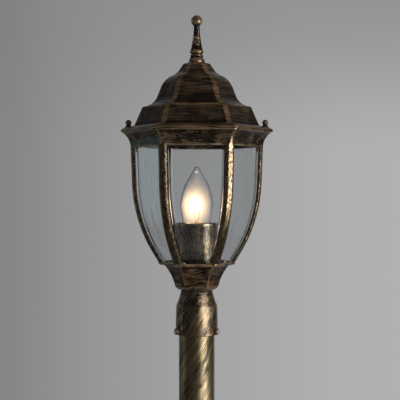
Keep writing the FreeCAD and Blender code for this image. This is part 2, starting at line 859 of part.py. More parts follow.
def clip_seat():
    # the clip's outer face, just clear of the leaning glass at the clip's foot
    return glass_line(glass_thickness, ring_top, clip_foot())[-1][-2] - small_screw_gap


def clip_level():
    return glass_top() + clip_boss_clearance + clip_boss_radius


def make_glass():
    outer = glass_line(0.0, ring_top, glass_top())
    inner = glass_line(glass_thickness, ring_top, glass_top())
    apex = glass_edge_gap / math.sin(math.radians(30))
    panel = side_slab(outer + back_along(inner), apex, 1.0)
    for number, one in enumerate(ring_of(panel, 6, 270.0)):
        save("glass_panel_" + str(number + 1), one)
    inside = clip_seat()
    head = clip_level() + clip_rise
    half = clip_width / 2
    round_centre = clip_foot() + half
    plate = Part.makeBox(clip_thickness, clip_width, head - round_centre)
    plate.translate(vec(inside - clip_thickness, -half, round_centre))
    rounded = Part.makeCylinder(half, clip_thickness, vec(inside - clip_thickness, 0, round_centre),
                                vec(1, 0, 0))
    hole = Part.makeCylinder(small_screw_radius + small_screw_gap, 3 * clip_thickness,
                             vec(inside - 2 * clip_thickness, 0, clip_level()), vec(1, 0, 0))
    clip = fuse([plate, rounded]).cut(hole)
    save("glass_clips", group(ring_of(clip, 6, 30.0)))
    shank = clip_screw_length + clip_thickness - small_screw_gap
    screw = pan_screw(small_screw_radius, shank, small_head_radius, small_head_height)
    screw.rotate(origin, z_axis, 90)
    screw.rotate(origin, y_axis, 180)
    laid = aimed(screw, inside - clip_thickness, clip_level(), 0.0)
    save("clip_screws", group(ring_of(laid, 6, 30.0)))


def roof_outline(inwards, sunk, crown_drop):
    # the roof's bell from its crown down to the foot of the skirt; the hollow's outline lies
    # inwards of the skin and sunk below it
    def place(radius, drop):
        return (radius - inwards, roof_top - drop - sunk)
    cap = place(roof_cap_radius, roof_cap_drop)
    kick = place(roof_kick_radius, roof_kick_drop)
    shoulder = place(roof_shoulder_radius, roof_shoulder_drop)
    bell = place(roof_bell_radius, roof_bell_drop)
    flare = place(roof_flare_radius, roof_flare_drop)
    ledge = place(roof_ledge_radius, roof_ledge_drop)
    skirt = (roof_skirt_radius - inwards, cage_top + lip_inner_height)
    return [(0, roof_top - crown_drop), (roof_crown_radius - inwards, roof_top - crown_drop), cap,
            bowed(cap, kick, roof_kick_sag), bowed(kick, shoulder, -roof_shoulder_swell), bell,
            bowed(bell, flare, roof_flare_sag), ledge, bowed(ledge, skirt, roof_skirt_sag)]


def make_roof():
    bell_foot = cage_top + lip_inner_height / 2
    bell = roof_outline(0.0, 0.0, 0.0) + [(roof_skirt_radius, bell_foot), (0, bell_foot)]
    lip = [(0, cage_top), (lip_edge_radius - lip_foot_step, cage_top),
           (lip_edge_radius, cage_top + lip_foot_step), (lip_edge_radius, cage_top + lip_edge_height),
           (lip_slope_radius, cage_top + lip_slope_height),
           (roof_skirt_radius, cage_top + lip_inner_height), (0, cage_top + lip_inner_height)]
    body = fuse([six_sided_blunt(bell, hip_cut), six_sided_blunt(lip, corner_cut)])
    hollow = roof_outline(roof_wall, roof_wall_sink, roof_crown_thickness)
    hollow += [(roof_skirt_radius - roof_wall, cage_top - past), (0, cage_top - past)]
    roof = body.cut(six_sided(hollow))
    seat = roof_top - knob_seat_drop
    holes = ring_of(rod(knob_pad_radius, seat, lip_inner_height, knob_circle_radius), 2, 0.0)
    shank_hole = rod(knob_shank_radius + knob_roof_gap, cage_top - past, roof_height, knob_circle_radius)
    holes += ring_of(shank_hole, 2, 0.0)
    holes.append(rod(finial_stud_radius + finial_stud_gap, cage_top, roof_height + past))
    save("roof", roof.cut(holes))


def make_knobs():
    # a ball on a flared neck, with a plain shank for its thread
    seat = roof_top - knob_seat_drop
    centre = knob_ball_height
    join = centre - math.sqrt(knob_ball_radius ** 2 - knob_neck_radius ** 2)
    points = [(0, cage_top - knob_thread_depth - seat),
              (knob_shank_radius, cage_top - knob_thread_depth - seat), (knob_shank_radius, 0),
              (knob_base_radius, 0),
              bowed((knob_base_radius, 0), (knob_neck_radius, join), -knob_flare_sag),
              (knob_ball_radius, centre, 0, centre + knob_ball_radius)]
    knob = turned(points)
    knob.translate(vec(knob_circle_radius, 0, seat))
    save("ball_screw_right", knob)
    save("ball_screw_left", around(knob, 180.0))


def make_finial():
    top = finial_ball_height + finial_ball_radius
    ball_join = finial_ball_height - math.sqrt(finial_ball_radius ** 2 - finial_neck_radius ** 2)
    bell = (finial_bell_radius, finial_bell_height)
    bell_neck = (finial_bell_neck_radius, finial_bell_neck_height)
    bead_top = (finial_groove_radius, finial_bead_top)
    groove = (finial_groove_radius, finial_groove_height)
    shoulder = (finial_shoulder_radius, finial_shoulder_height)
    stem = (finial_stem_radius, finial_stem_height)
    neck = (finial_neck_radius, finial_neck_height)
    points = [(0, 0), (finial_bell_radius - finial_bell_step, 0), bell,
              bowed(bell, bell_neck, finial_bell_swell),
              bowed(bell_neck, bead_top, finial_bead_swell), groove,
              bowed(groove, shoulder, finial_shoulder_swell), bowed(shoulder, stem, -finial_stem_sag),
              bowed(stem, neck, -finial_neck_sag), (finial_neck_radius, ball_join),
              (finial_ball_radius, finial_ball_height, 0, top)]
    finial = turned(points)
    finial.translate(vec(0, 0, roof_top))
    stud_hole = rod(finial_stud_radius + finial_stud_gap, roof_top - past, finial_stud_depth + past)
    save("finial", finial.cut(stud_hole))
    ceiling = roof_top - roof_crown_thickness
    stack = finial_washer_thickness + finial_nut_thickness + finial_stud_tail
    stud_floor = ceiling - stack
    stud_top = roof_top + finial_stud_depth - finial_stud_gap
    save("finial_stud", rod(finial_stud_radius, stud_floor, stud_top - stud_floor))
    hole = rod(finial_stud_radius + finial_stud_gap, stud_floor - past, stack + 2 * past)
    washer_floor = ceiling - finial_washer_thickness
    washer = rod(finial_washer_radius, washer_floor, finial_washer_thickness)
    save("finial_washer", washer.cut(hole))
    nut = hex_prism(finial_nut_across_flats, washer_floor - finial_nut_thickness, finial_nut_thickness)
    save("finial_nut", nut.cut(hole))


def make_lampholder():
    sleeve = rod(sleeve_radius, sleeve_foot, sleeve_height)
    inside = rod(sleeve_radius - sleeve_wall, holder_floor_level, sleeve_height)
    hole = rod(nipple_radius + nipple_gap, sleeve_foot - past, holder_floor)
    save("candle_sleeve", sleeve.cut([inside, hole]))
    holder_top = holder_floor_level + holder_height
    waist = holder_floor_level + holder_foot_height
    mouth = holder_top - holder_mouth_depth
    lead_hole = lead_radius + nipple_gap
    entry_top = nipple_top + nipple_gap
    points = [(nipple_radius + nipple_gap, holder_floor_level), (holder_foot_radius, holder_floor_level),
              (holder_radius, waist), (holder_radius, holder_top), (holder_mouth_radius, holder_top),
              (holder_mouth_radius, mouth), (holder_bore, mouth - (holder_mouth_radius - holder_bore)),
              (holder_bore, holder_cavity_floor), (lead_hole, holder_cavity_floor),
              (lead_hole, entry_top), (nipple_radius + nipple_gap, entry_top)]
    save("lampholder_body", turned(points))
    shell_radius = holder_bore - shell_gap
    shell_floor = holder_cavity_floor + shell_rise
    shell = rod(shell_radius, shell_floor, shell_height)
    save("lampholder_shell", shell.cut(rod(shell_radius - shell_wall, shell_floor, shell_height)))
    foot = contact_length / 2
    rise = contact_rise
    low = holder_cavity_floor
    thick = contact_thickness
    half_flat = contact_flat / 2
    strip = [(-foot, low), (-foot + thick * 3, low), (-half_flat, low + rise),
             (half_flat, low + rise), (half_flat, low + rise + thick),
             (-half_flat - thick / 2, low + rise + thick), (-foot, low + thick)]
    contact = outline(strip).extrude(vec(0, contact_width, 0))
    contact.translate(vec(0, -contact_width / 2, 0))
    save("centre_contact", contact)


def make_bulb():
    def down(drop):
        return bulb_top - drop
    cap = turned([(insulator_radius, button_floor + button_height), (cap_radius, cap_floor),
                  (cap_radius, cap_top), (cap_radius - cap_wall, cap_top),
                  (cap_radius - cap_wall, cap_floor + cap_wall),
                  (insulator_radius, button_floor + button_height + cap_wall)])
    save("bulb_cap", cap)
    insulator = turned([(button_radius, button_floor), (insulator_radius, button_floor + button_height),
                        (insulator_radius, button_floor + button_height + cap_wall),
                        (0, button_floor + button_height + cap_wall),
                        (0, button_floor + button_height), (button_radius, button_floor + button_height)])
    save("bulb_insulator", insulator)
    save("bulb_button", rod(button_radius, button_floor, button_height))

    def envelope(inwards):
        neck = bulb_neck_radius - inwards
        return [(neck, bulb_neck_floor), (neck, cap_top),
                (bulb_low_radius - inwards, down(bulb_low_drop),
                 bulb_belly_radius - inwards, down(bulb_belly_drop)),
                (bulb_high_radius - inwards, down(bulb_high_drop),
                 bulb_shoulder_radius - inwards, down(bulb_shoulder_drop)),
                (bulb_tip_radius - inwards / 2, down(bulb_tip_drop + inwards)),
                cap_arc(bulb_tip_radius - inwards / 2, down(bulb_tip_drop + inwards), down(inwards))]
    save("bulb_glass", turned(envelope(0.0) + back_along(envelope(bulb_wall))))
    stem_floor = bulb_neck_floor
    seal_radius = bulb_neck_radius - bulb_wall - shell_gap
    seal_top = stem_floor + bulb_wall
    foot_top = stem_floor + stem_foot_height
    stem_top = stem_floor + stem_height
    stem = turned([(0, stem_floor), (seal_radius, stem_floor), (seal_radius, seal_top),
                   (stem_foot_radius, seal_top), (stem_radius, foot_top),
                   (stem_radius, stem_top), (0, stem_top)])
    save("bulb_stem", stem)
    filament_level = stem_floor + filament_rise
    arc_angle = 360.0 - filament_open_angle
    circle = Part.Wire(Part.makeCircle(filament_radius, vec(filament_ring_radius, 0, 0), y_axis))
    ring = Part.Face(circle).revolve(origin, z_axis, arc_angle)
    ring.rotate(origin, z_axis, 270.0 + filament_open_angle / 2)
    ring.translate(vec(0, 0, filament_level))
    save("bulb_filament", ring)
    wires = []
    for turn in (0.0, 0.5, 1.0):
        angle = math.radians(270.0 + filament_open_angle / 2 + arc_angle * turn)
        foot = vec(stem_radius / 2 * math.cos(angle), stem_radius / 2 * math.sin(angle),
                   stem_top + wire_radius)
        head = vec(filament_ring_radius * math.cos(angle), filament_ring_radius * math.sin(angle),
                   filament_level)
        way = (head - foot).normalize()
        length = (head - foot).Length - filament_radius
        wires.append(Part.makeCylinder(wire_radius, length, foot, way))
    save("bulb_wires", group(wires))


os.makedirs("parts", exist_ok=True)
make_base()
make_base_fittings()
make_terminal_block()
make_pole_and_lead()
make_fitter()
make_neck()
make_cup()
make_cage()
make_glass()
make_roof()
make_knobs()
make_finial()
make_lampholder()
make_bulb()
print("height", round(roof_top + finial_ball_height + finial_ball_radius, 2))
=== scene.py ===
import math
import bmesh
import bpy
import numpy as np
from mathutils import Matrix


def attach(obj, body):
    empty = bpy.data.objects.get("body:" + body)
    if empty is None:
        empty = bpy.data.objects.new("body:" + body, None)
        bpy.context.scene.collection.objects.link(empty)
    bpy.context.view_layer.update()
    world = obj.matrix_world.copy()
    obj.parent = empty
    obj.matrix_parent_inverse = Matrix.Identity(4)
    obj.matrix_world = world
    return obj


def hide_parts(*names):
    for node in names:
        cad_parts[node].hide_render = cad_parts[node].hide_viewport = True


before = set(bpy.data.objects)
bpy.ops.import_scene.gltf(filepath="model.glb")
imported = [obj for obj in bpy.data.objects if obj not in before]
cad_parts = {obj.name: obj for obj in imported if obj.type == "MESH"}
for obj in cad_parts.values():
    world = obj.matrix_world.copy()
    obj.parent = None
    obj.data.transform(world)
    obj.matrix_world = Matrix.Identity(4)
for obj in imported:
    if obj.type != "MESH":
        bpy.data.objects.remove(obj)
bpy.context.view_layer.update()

mm = 0.001
print("frame loaded:", len(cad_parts), "nodes")

# An outline is a list of (radius, height) or (radius, height, sag) in millimetres. The right-hand side
# of its way is outside the material. A sag bows the run that ends at its point, to the right of the way.
outlineWalk = {"step": 0.12, "turnSpread": 0.5, "turnWeight": 1.1, "sharpest": 4}


def lifted(points, level):
    return [(p[0], level + p[1]) + tuple(p[2:]) for p in points]


def polar(far, azimuth):
    # x = far cos azimuth, y = far sin azimuth, with the azimuth in degrees
    return far * math.cos(math.radians(azimuth)), far * math.sin(math.radians(azimuth))


def arcRun(start, end, sag, step):
    # point(t) = middle + R sin(a t) along the chord + (R cos(a t) - R + sag) to its right, t from -1 to 1
    start, end = np.array(start, float), np.array(end, float)
    way = end - start
    chord = np.hypot(*way)
    t = np.linspace(-1, 1, int(chord / step) + 3)
    if abs(sag) < 1e-6:
        return start + (t[:, None] + 1) / 2 * way
    radius = (chord ** 2 / 4 + sag ** 2) / (2 * abs(sag))
    angle = t * math.asin(min(1.0, chord / 2 / radius))
    off = np.sign(sag) * (radius * np.cos(angle) - radius + abs(sag))
    side = np.array([way[1], -way[0]]) / chord
    return (start + end) / 2 + radius * np.sin(angle)[:, None] * way / chord + off[:, None] * side


def evenRun(points, step, closed):
    # the whole outline walked at equal steps of its length, and the length at each of its points
    points = [tuple(p) + (0.0,) * (3 - len(p)) for p in points]
    points = points + points[:1] if closed else points
    runs = [arcRun(a[:2], b[:2], b[2], step / 2) for a, b in zip(points[:-1], points[1:])]
    line = np.concatenate([runs[0]] + [run[1:] for run in runs[1:]])
    length = np.concatenate([[0], np.cumsum(np.hypot(*np.diff(line, axis=0).T))])
    marks = length[np.concatenate([[0], np.cumsum([len(run) - 1 for run in runs])])]
    at = np.linspace(0, length[-1], int(length[-1] / step) + 2)
    at = at[:-1] if closed else at
    return np.stack([np.interp(at, length, line[:, 0]), np.interp(at, length, line[:, 1])], axis=1), marks


def smoothed(line, width, step, closed):
    # each point is the bell-weighted mean of its neighbours: weight = exp(-(d / width)^2 / 2)
    reach = max(1, min(int(3 * width / step), len(line) - 1))
    bell = np.exp(-0.5 * (np.arange(-reach, reach + 1) * step / width) ** 2)
    pad = ((reach, reach), (0, 0))
    padded = np.pad(line, pad, mode="wrap") if closed else np.pad(line, pad, "reflect", reflect_type="odd")
    columns = [np.convolve(padded[:, k], bell / bell.sum(), mode="valid") for k in range(line.shape[1])]
    return np.stack(columns, axis=1)


def softOutline(points, rounding=0.3, coarse=1.6, closed=False, wearWidth=1.1):
    # walks the outline, rounds its edges, and keeps more points where it turns:
    # points per mm = 1 / coarse + weight |turn|, with the turn in radians per mm
    step = outlineWalk["step"]
    line, marks = evenRun(points, step, closed)
    line = smoothed(line, rounding, step, closed)
    ahead = np.roll(line, -1, 0) - np.roll(line, 1, 0) if closed else np.gradient(line, axis=0)
    normal = np.stack([ahead[:, 1], -ahead[:, 0]], axis=1) / np.hypot(*ahead.T)[:, None]
    proud = ((line - smoothed(line, wearWidth, step, closed)) * normal).sum(1)
    heading = np.unwrap(np.arctan2(ahead[:, 1], ahead[:, 0]))
    turn = np.minimum(np.abs(np.gradient(heading)) / step, outlineWalk["sharpest"])
    turn = smoothed(turn[:, None], outlineWalk["turnSpread"], step, False)[:, 0]
    dense = (1 / coarse + outlineWalk["turnWeight"] * turn)[:-1] * step
    dense = np.concatenate([[0], np.cumsum(dense)])
    at = np.interp(np.linspace(0, dense[-1], int(dense[-1]) + 3), dense, np.arange(len(line)))
    pick = lambda values: np.interp(at, np.arange(len(line)), values)
    return {"radius": pick(line[:, 0]), "height": pick(line[:, 1]), "proud": pick(proud),
            "run": at * step, "marks": marks}


def linked(name, data):
    holder = bpy.data.objects.new(name, data)
    bpy.context.scene.collection.objects.link(holder)
    return holder


def newPiece(name, points, faces, body, nodes, values=None, sharp=None):
    mesh = bpy.data.meshes.new(name)
    mesh.from_pydata(points.reshape(-1, 3), [], faces)
    for key, array in (values or {}).items():
        spread = np.broadcast_to(array, points.shape[:-1]).astype(np.float32)
        mesh.attributes.new(key, "FLOAT", "POINT").data.foreach_set("value", spread.ravel())
    mesh.polygons.foreach_set("use_smooth", np.ones(len(mesh.polygons), bool))
    if sharp:
        mesh.set_sharp_from_angle(angle=math.radians(sharp))
    work = bmesh.new()  # spare copies of a closed pole's point go
    work.from_mesh(mesh)
    bmesh.ops.delete(work, geom=[v for v in work.verts if not v.link_faces], context="VERTS")
    work.to_mesh(mesh)
    work.free()
    piece = linked(name, mesh)
    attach(piece, body)
    if nodes:
        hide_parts(*nodes)
    return piece


def gridFaces(rows, columns, closed=False, poles=(False, False), first=0):
    # four-sided faces between neighbouring rows and columns, and triangles round a closed pole
    ids = np.arange(rows * columns).reshape(rows, columns) + first
    ids = np.concatenate([ids, ids[:1]]) if closed else ids
    ids = np.concatenate([ids, ids[:, :1]], axis=1)
    low, high = int(poles[0]), len(ids) - 1 - int(poles[1])
    a, b = ids[low:high, :-1], ids[low:high, 1:]
    c, d = ids[low + 1:high + 1, 1:], ids[low + 1:high + 1, :-1]
    faces = np.stack([a, b, c, d], axis=-1).reshape(-1, 4).tolist()
    if poles[0]:
        faces += np.stack([0 * ids[1, 1:] + ids[0, 0], ids[1, 1:], ids[1, :-1]], 1).tolist()
    if poles[1]:
        faces += np.stack([ids[-2, :-1], ids[-2, 1:], 0 * ids[-2, 1:] + ids[-1, 0]], 1).tolist()
    return faces


def cappedFaces(rows, columns):
    # a tube's faces with one flat face at each end
    ends = [list(range(columns))[::-1], list(range((rows - 1) * columns, rows * columns))]
    return gridFaces(rows, columns) + ends


def laidAlong(points, origin, azimuth):
    # a shape turned about z, laid so that its z runs outwards along the azimuth from the origin
    x, y = polar(1.0, azimuth)
    out, side = np.array([x, y, 0]), np.array([-y, x, 0])
    return (np.array(origin) * mm + points[..., 2:3] * out + points[..., 0:1] * side
            + points[..., 1:2] * np.array([0, 0, 1.0]))


def turnedGrid(outline, level=0.0, around=96, closed=False, rounding=0.25, coarse=2.0, wearScale=0.12):
    # point(row, a) = (r(row) cos a, r(row) sin a, z(row))
    line = softOutline(lifted(outline, level), rounding, coarse, closed)
    rows = len(line["radius"]) - int(closed)
    angle = np.linspace(0, 2 * np.pi, around, endpoint=False)
    radius, height = np.maximum(line["radius"][:rows, None], 0) * mm, line["height"][:rows, None] * mm
    grid = np.stack([radius * np.cos(angle), radius * np.sin(angle), height + 0 * angle], axis=-1)
    poles = (not closed and radius[0, 0] < 1e-6, not closed and radius[-1, 0] < 1e-6)
    proud = line["proud"][:rows, None] / wearScale
    values = {"worn": np.clip(proud, 0, 1), "sheltered": np.clip(-proud, 0, 1),
              "run": line["run"][:rows, None] * mm}
    return grid, gridFaces(rows, around, closed, poles), values


def sixSidedGrid(outline, flats, level=0.0, rounds=None, closed=False, rounding=0.35, coarse=1.6, steps=13,
                 wearScale=0.12, edgeReach=0.55):
    # At outline radius r the section is a hexagon whose corners are blunted by flats at distance r from
    # the axis, with half width h: over azimuth 0 to 30 it runs up the flat, x = r, y = 0 to h, round a
    # parabola of reach f about (r, h), and on along (-1/2, cos 30) to the middle of the side.
    line = softOutline(lifted(outline, level), rounding, coarse, closed)
    rows = len(line["radius"]) - int(closed)
    radius, height = np.maximum(line["radius"][:rows, None], 0), line["height"][:rows, None]
    alongMarks = lambda shares: np.interp(line["run"][:rows], line["marks"],
                                          list(shares) + ([shares[0]] if closed else []))[:, None]
    half = np.minimum(alongMarks(flats) / 2, radius * 0.55)
    side = radius / 2 - half * math.cos(math.pi / 6)
    reach = np.minimum(edgeReach, np.minimum(half * 0.8, side * 0.5))
    toNext = np.array([-0.5, math.cos(math.pi / 6)])
    flat = [-reach - (half - reach) * k for k in (1.0, 0.6, 0.25)]
    bend = [reach * k for k in (-1.0, -0.5, 0.0, 0.5, 1.0)]
    face = [reach + (side - reach) * (k / steps) ** 1.9 for k in range(1, steps + 1)]
    s = np.concatenate(flat + bend + face, axis=1)  # the way along the section, 0 at the flat's corner
    t = np.clip((s + reach) / np.maximum(2 * reach, 1e-9), 0, 1)
    inBend = np.abs(s) <= reach * 1.0001
    x = radius + np.where(inBend, reach * t ** 2 * toNext[0], np.maximum(s, 0) * toNext[0])
    along = np.where(s > 0, s * toNext[1], s)
    y = half + np.where(inBend, reach * (t ** 2 * toNext[1] - (1 - t) ** 2), along)
    far, angle = np.hypot(x, y), np.arctan2(y, x)
    if rounds is not None:  # a share of roundness draws the section out to a true circle
        far = far + (radius - far) * alongMarks(rounds)
    far = np.concatenate([far, far[:, -2:0:-1]], axis=1)
    angle = np.concatenate([angle, math.pi / 3 - angle[:, -2:0:-1]], axis=1)
    s = np.tile(np.concatenate([s, s[:, -2:0:-1]], axis=1), 6)
    angle = np.tile(angle, 6) + np.repeat(np.arange(6) * math.pi / 3, far.shape[1])
    far = np.tile(far, 6)
    grid = np.stack([far * np.cos(angle), far * np.sin(angle), height + 0 * far], axis=-1) * mm
    poles = (not closed and radius[0, 0] < 1e-3, not closed and radius[-1, 0] < 1e-3)
    proud = line["proud"][:rows, None] / wearScale
    edge = 0.4 * np.exp(-(s / 0.45) ** 2)
    # the ridge is full at the flat's middle
    ridge = np.exp(-(np.maximum(s + 0.45 * half, 0) / (0.25 * half + 0.12)) ** 2)
    values = {"worn": np.clip(np.maximum(proud, edge), 0, 1), "sheltered": np.clip(-proud + 0 * s, 0, 1),
              "hip": ridge, "run": line["run"][:rows, None] * mm + 0 * s}
    return grid, gridFaces(rows, grid.shape[1], closed, poles), values


def turnedCopies(grid, faces, angles, values=None):
    # the same grid turned to several azimuths about the lantern's axis, as one set of points and faces
    flat = grid.reshape(-1, 3)
    turns = [np.array([[math.cos(a), math.sin(a), 0], [-math.sin(a), math.cos(a), 0], [0, 0, 1]])
             for a in np.radians(angles)]
    faces = [[v + k * len(flat) for v in face] for k in range(len(angles)) for face in faces]
    count = len(angles)
    values = {key: np.tile(v.ravel(), count).reshape(count, -1) for key, v in (values or {}).items()}
    return np.stack([flat @ turn for turn in turns]), faces, values


# Levels of the lantern in mm above the floor, and widths shared by several pieces.
poleTop, fitterFloor, cupFloor, sleeveFoot, cupTop = 866.0, 841.1, 888.3, 909.5, 914.9
ringTop, bulbTop, friezeFloor, cageTop, roofTop = 918.0, 1018.9, 1039.5, 1055.8, 1128.3
cornerFlat, hipFlat, innerFlat, barDepth = 2.8, 6.3, 0.8, 4.8
screwAzimuths = {"left": 210, "right": 330, "rear": 90}

roofShape = {
    "bell": [(66.5, 6.8), (58.2, 25.5, -0.2), (57.0, 26.9), (41.5, 38.5, -2.9), (38.4, 46.7),
             (27.8, 59.1, 1.4), (19.6, 64.2, -0.55), (14.0, 72.5), (0, 72.5)],
    "lip": [(80.6, 0), (81.0, 0.4), (81.0, 2.4), (76.5, 5.1), (67.4, 6.7)],
    "wall": 2.6, "sink": 1.4, "crown": 7.0, "rounding": 0.4, "coarse": 1.4,
}


def makeRoof(shape):
    # the outer line is the lip and the bell; the hollow's line walks back down inside them, a wall away
    lift = lambda p, out=0.0, down=0.0: (p[0] - out, cageTop + p[1] - down)
    bell, lip, wall = shape["bell"], shape["lip"], shape["wall"]
    crownLine = roofTop - shape["crown"]
    inner = [(0, crownLine), (bell[-2][0] - wall, crownLine)]
    sags = [p[2] if len(p) > 2 else 0.0 for p in bell]
    for k in range(len(bell) - 3, 0, -1):
        inner.append(lift(bell[k], wall, shape["sink"]) + (-sags[k + 1],))
    inner.append((bell[0][0] - wall, cageTop + bell[0][1], -sags[1]))
    inner.append((bell[0][0] - wall, cageTop))
    outer = [lift(p) for p in lip] + [lift(p) + (sag,) for p, sag in zip(bell, sags)]
    flats = [innerFlat] * len(inner) + [cornerFlat] * len(lip) + [hipFlat] * len(bell)
    grid, faces, values = sixSidedGrid(inner + outer, flats, rounding=shape["rounding"],
                                       coarse=shape["coarse"])
    return newPiece("roof_shell", grid, faces, "roof", ["roof"], values)


roofPiece = makeRoof(roofShape)

friezeShape = {
    "outline": [(67.25, 0, 1.8), (70.35, 0), (78.0, 15.0, -1.8), (79.2, 15.0), (79.2, 16.3), (74.6, 16.3),
                (74.6, 15.0)],
    "level": friezeFloor, "flats": [innerFlat] + [cornerFlat] * 4 + [innerFlat] * 2, "closed": True,
    "rounding": 0.28, "coarse": 1.2,
}
ringShape = {
    "outline": [(24.5, 0), (40.0, 0), (41.0, 3.1), (24.5, 3.1)],
    "level": cupTop, "flats": [cornerFlat] * 4, "rounds": [1, 0, 0, 1], "closed": True, "rounding": 0.25,
    "coarse": 1.5,
}
barShape = {
    "foot": 40.9, "top": 70.35, "lean": 2.2, "bend": 43.15, "round": 152.0, "root": 2.5,
    "section": [(-5.0, -barDepth), (5.0, -barDepth), (5.0, -2.2), (2.8, 0), (-2.8, 0), (-5.0, -2.2)],
    "frontDepth": 1.4, "frontFade": 0.35, "wearScale": 0.1,
}


def barLine(shape, floor, top):
    # the bar's outer line: it leans out from its foot, bends on a round, and leans a little to its top
    lean = math.radians(shape["lean"])
    meet, height = shape["bend"], friezeFloor - ringTop
    meetRadius = shape["top"] - (height - meet) * math.tan(lean)
    footLean = math.atan((meetRadius - shape["foot"]) / meet)
    turn = footLean - lean
    reach = shape["round"] * math.tan(turn / 2)
    sag = shape["round"] * (1 - math.cos(turn / 2))
    low = (meetRadius - reach * math.sin(footLean), ringTop + meet - reach * math.cos(footLean))
    high = (meetRadius + reach * math.sin(lean), ringTop + meet + reach * math.cos(lean), sag)
    start = (shape["foot"] - (ringTop - floor) * math.tan(footLean), floor)
    return [start, low, high, (shape["top"] + (top - friezeFloor) * math.tan(lean), top)]


def makeBars(shape):
    # bar(u, v) = line(v) + section(u): the section's depth along the radius, its width across
    line = softOutline(barLine(shape, ringTop - shape["root"], friezeFloor + shape["root"]), 0.3, 1.8)
    section = softOutline(shape["section"], 0.28, 1.3, True, 0.8)
    across, deep = section["radius"][:-1], section["height"][:-1]
    rows, columns = len(line["radius"]), len(across)
    grid = np.stack([line["radius"][:, None] + deep, np.zeros((rows, 1)) + across,
                     line["height"][:, None] + 0 * across], axis=-1) * mm
    proud = np.zeros((rows, 1)) + np.clip(section["proud"][:-1] / shape["wearScale"], -1, 1)
    front = np.zeros((rows, 1)) + 1 / (1 + np.exp(-(deep + shape["frontDepth"]) / shape["frontFade"]))
    values = {"worn": np.clip(proud, 0, 1), "sheltered": np.clip(-proud, 0, 1), "hip": front,
              "run": line["run"][:, None] * mm + 0 * across}
    grid, faces, values = turnedCopies(grid, cappedFaces(rows, columns), [0, 60, 120, 180, 240, 300],
                                       values)
    return newPiece("cage_bars", grid, faces, "head", ["cage"], values)


cagePieces = []
for name, shape in (("cage_frieze", friezeShape), ("cage_ring", ringShape)):
    grid, faces, values = sixSidedGrid(**shape)
    cagePieces.append(newPiece(name, grid, faces, "head", ["cage"], values))
cagePieces.append(makeBars(barShape))

cupShape = {
    "outline": [(0, 0), (19.4, 0), (22.85, 3.0), (34.0, 25.6, -1.55), (36.3, 26.6), (31.2, 26.6),
                (31.2, 25.6), (20.05, 5.0, 1.55), (0, 5.0)],
    "level": cupFloor, "flats": [cornerFlat] * 5 + [innerFlat] * 4, "rounding": 0.3, "coarse": 1.3,
}
grid, faces, values = sixSidedGrid(**cupShape)
cupPiece = newPiece("cup_body", grid, faces, "head", ["cup"], values)

fitterShape = {
    "outline": [(5.05, 38.9), (14.0, 38.9), (14.0, 24.9), (19.06, 24.9), (19.06, 0), (22.6, 0),
                (22.0, 29.8), (17.2, 43.8, -0.3), (17.2, 45.6), (5.05, 45.6)],
    "level": fitterFloor, "closed": True, "rounding": 0.3, "coarse": 1.8,
}
poleShape = {"outline": [(17, 50), (19, 50), (19, poleTop), (17, poleTop)], "closed": True, "rounding": 0.2,
             "coarse": 14.0}
sleeveShape = {
    "outline": [(5.05, 0), (22.65, 0), (22.65, 49.9), (21.45, 49.9), (21.45, 1.5), (5.05, 1.5)],
    "level": sleeveFoot, "closed": True, "rounding": 0.16, "coarse": 3.0,
}
finialShape = {
    "outline": [(0, 0), (8.15, 0), (8.65, 2.0), (6.6, 7.7, 0.3), (6.1, 9.9, 0.45), (6.1, 11.0),
                (7.25, 13.1, 0.55), (4.9, 22.6, -0.35), (3.2, 38.0, -0.35), (3.2, 40.72), (6.0, 45.8, 0.75),
                (0, 51.8, 1.757)],
    "level": roofTop, "around": 72, "rounding": 0.14, "coarse": 0.9, "wearScale": 0.06,
}


def makeTurned(name, shape, body, node):
    grid, faces, values = turnedGrid(**shape)
    return newPiece(name, grid, faces, body, [node], values)


fitterPiece = makeTurned("fitter_body", fitterShape, "head", "fitter")
polePiece = makeTurned("pole_tube", poleShape, "stand", "pole")
sleevePiece = makeTurned("sleeve_tube", sleeveShape, "head", "candle_sleeve")
finialPiece = makeTurned("finial_turned", finialShape, "roof", "finial")

ballShape = {
    "outline": [(0, -8.5), (2.0, -8.5), (2.0, 0), (4.4, 0), (2.4, 2.483, -0.4), (3.2, 4.6, 0.207),
                (0, 7.8, 0.937)],
    "level": 1061.1, "around": 48, "rounding": 0.12, "coarse": 0.8, "wearScale": 0.05,
}
ballPlaces = {"left": -72.7, "right": 72.7}
screwPieces = []
for side, place in ballPlaces.items():
    grid, faces, values = turnedGrid(**ballShape)
    screwPieces.append(newPiece("ball_screw_" + side + "_head", grid + np.array([place * mm, 0, 0]), faces,
                                side + "_ball_screw", ["ball_screw_" + side], values))

lockShape = {"fitterLength": 3.6, "fitterSeat": 22.65, "fitterHeight": fitterFloor + 4.1, "poleLength": 6.0,
             "poleSeat": 25.05, "poleHeight": 79.0, "socket": 2.0}


def lockScrew(shape, length):
    # a round head with a rounded rim and a deep six-sided socket
    points = [(0, -length), (2.45, -length), (2.45, 0), (3.4, 0), (3.4, 2.7), (2.8, 3.3, 0.18), (2.05, 3.3),
              (1.96, 3.15), (1.96, 1.0), (0, 1.0)]
    grid, faces, values = sixSidedGrid(points, [0.5] * 10, rounds=[1] * 7 + [0] * 3, rounding=0.1,
                                       coarse=0.8, steps=4, wearScale=0.05, edgeReach=0.2)
    # the socket mask marks where the screw finish paints its pale highlight
    values["socket"] = 1.0 * (np.hypot(grid[..., 0], grid[..., 1]) < shape["socket"] * mm)
    return grid, faces, values


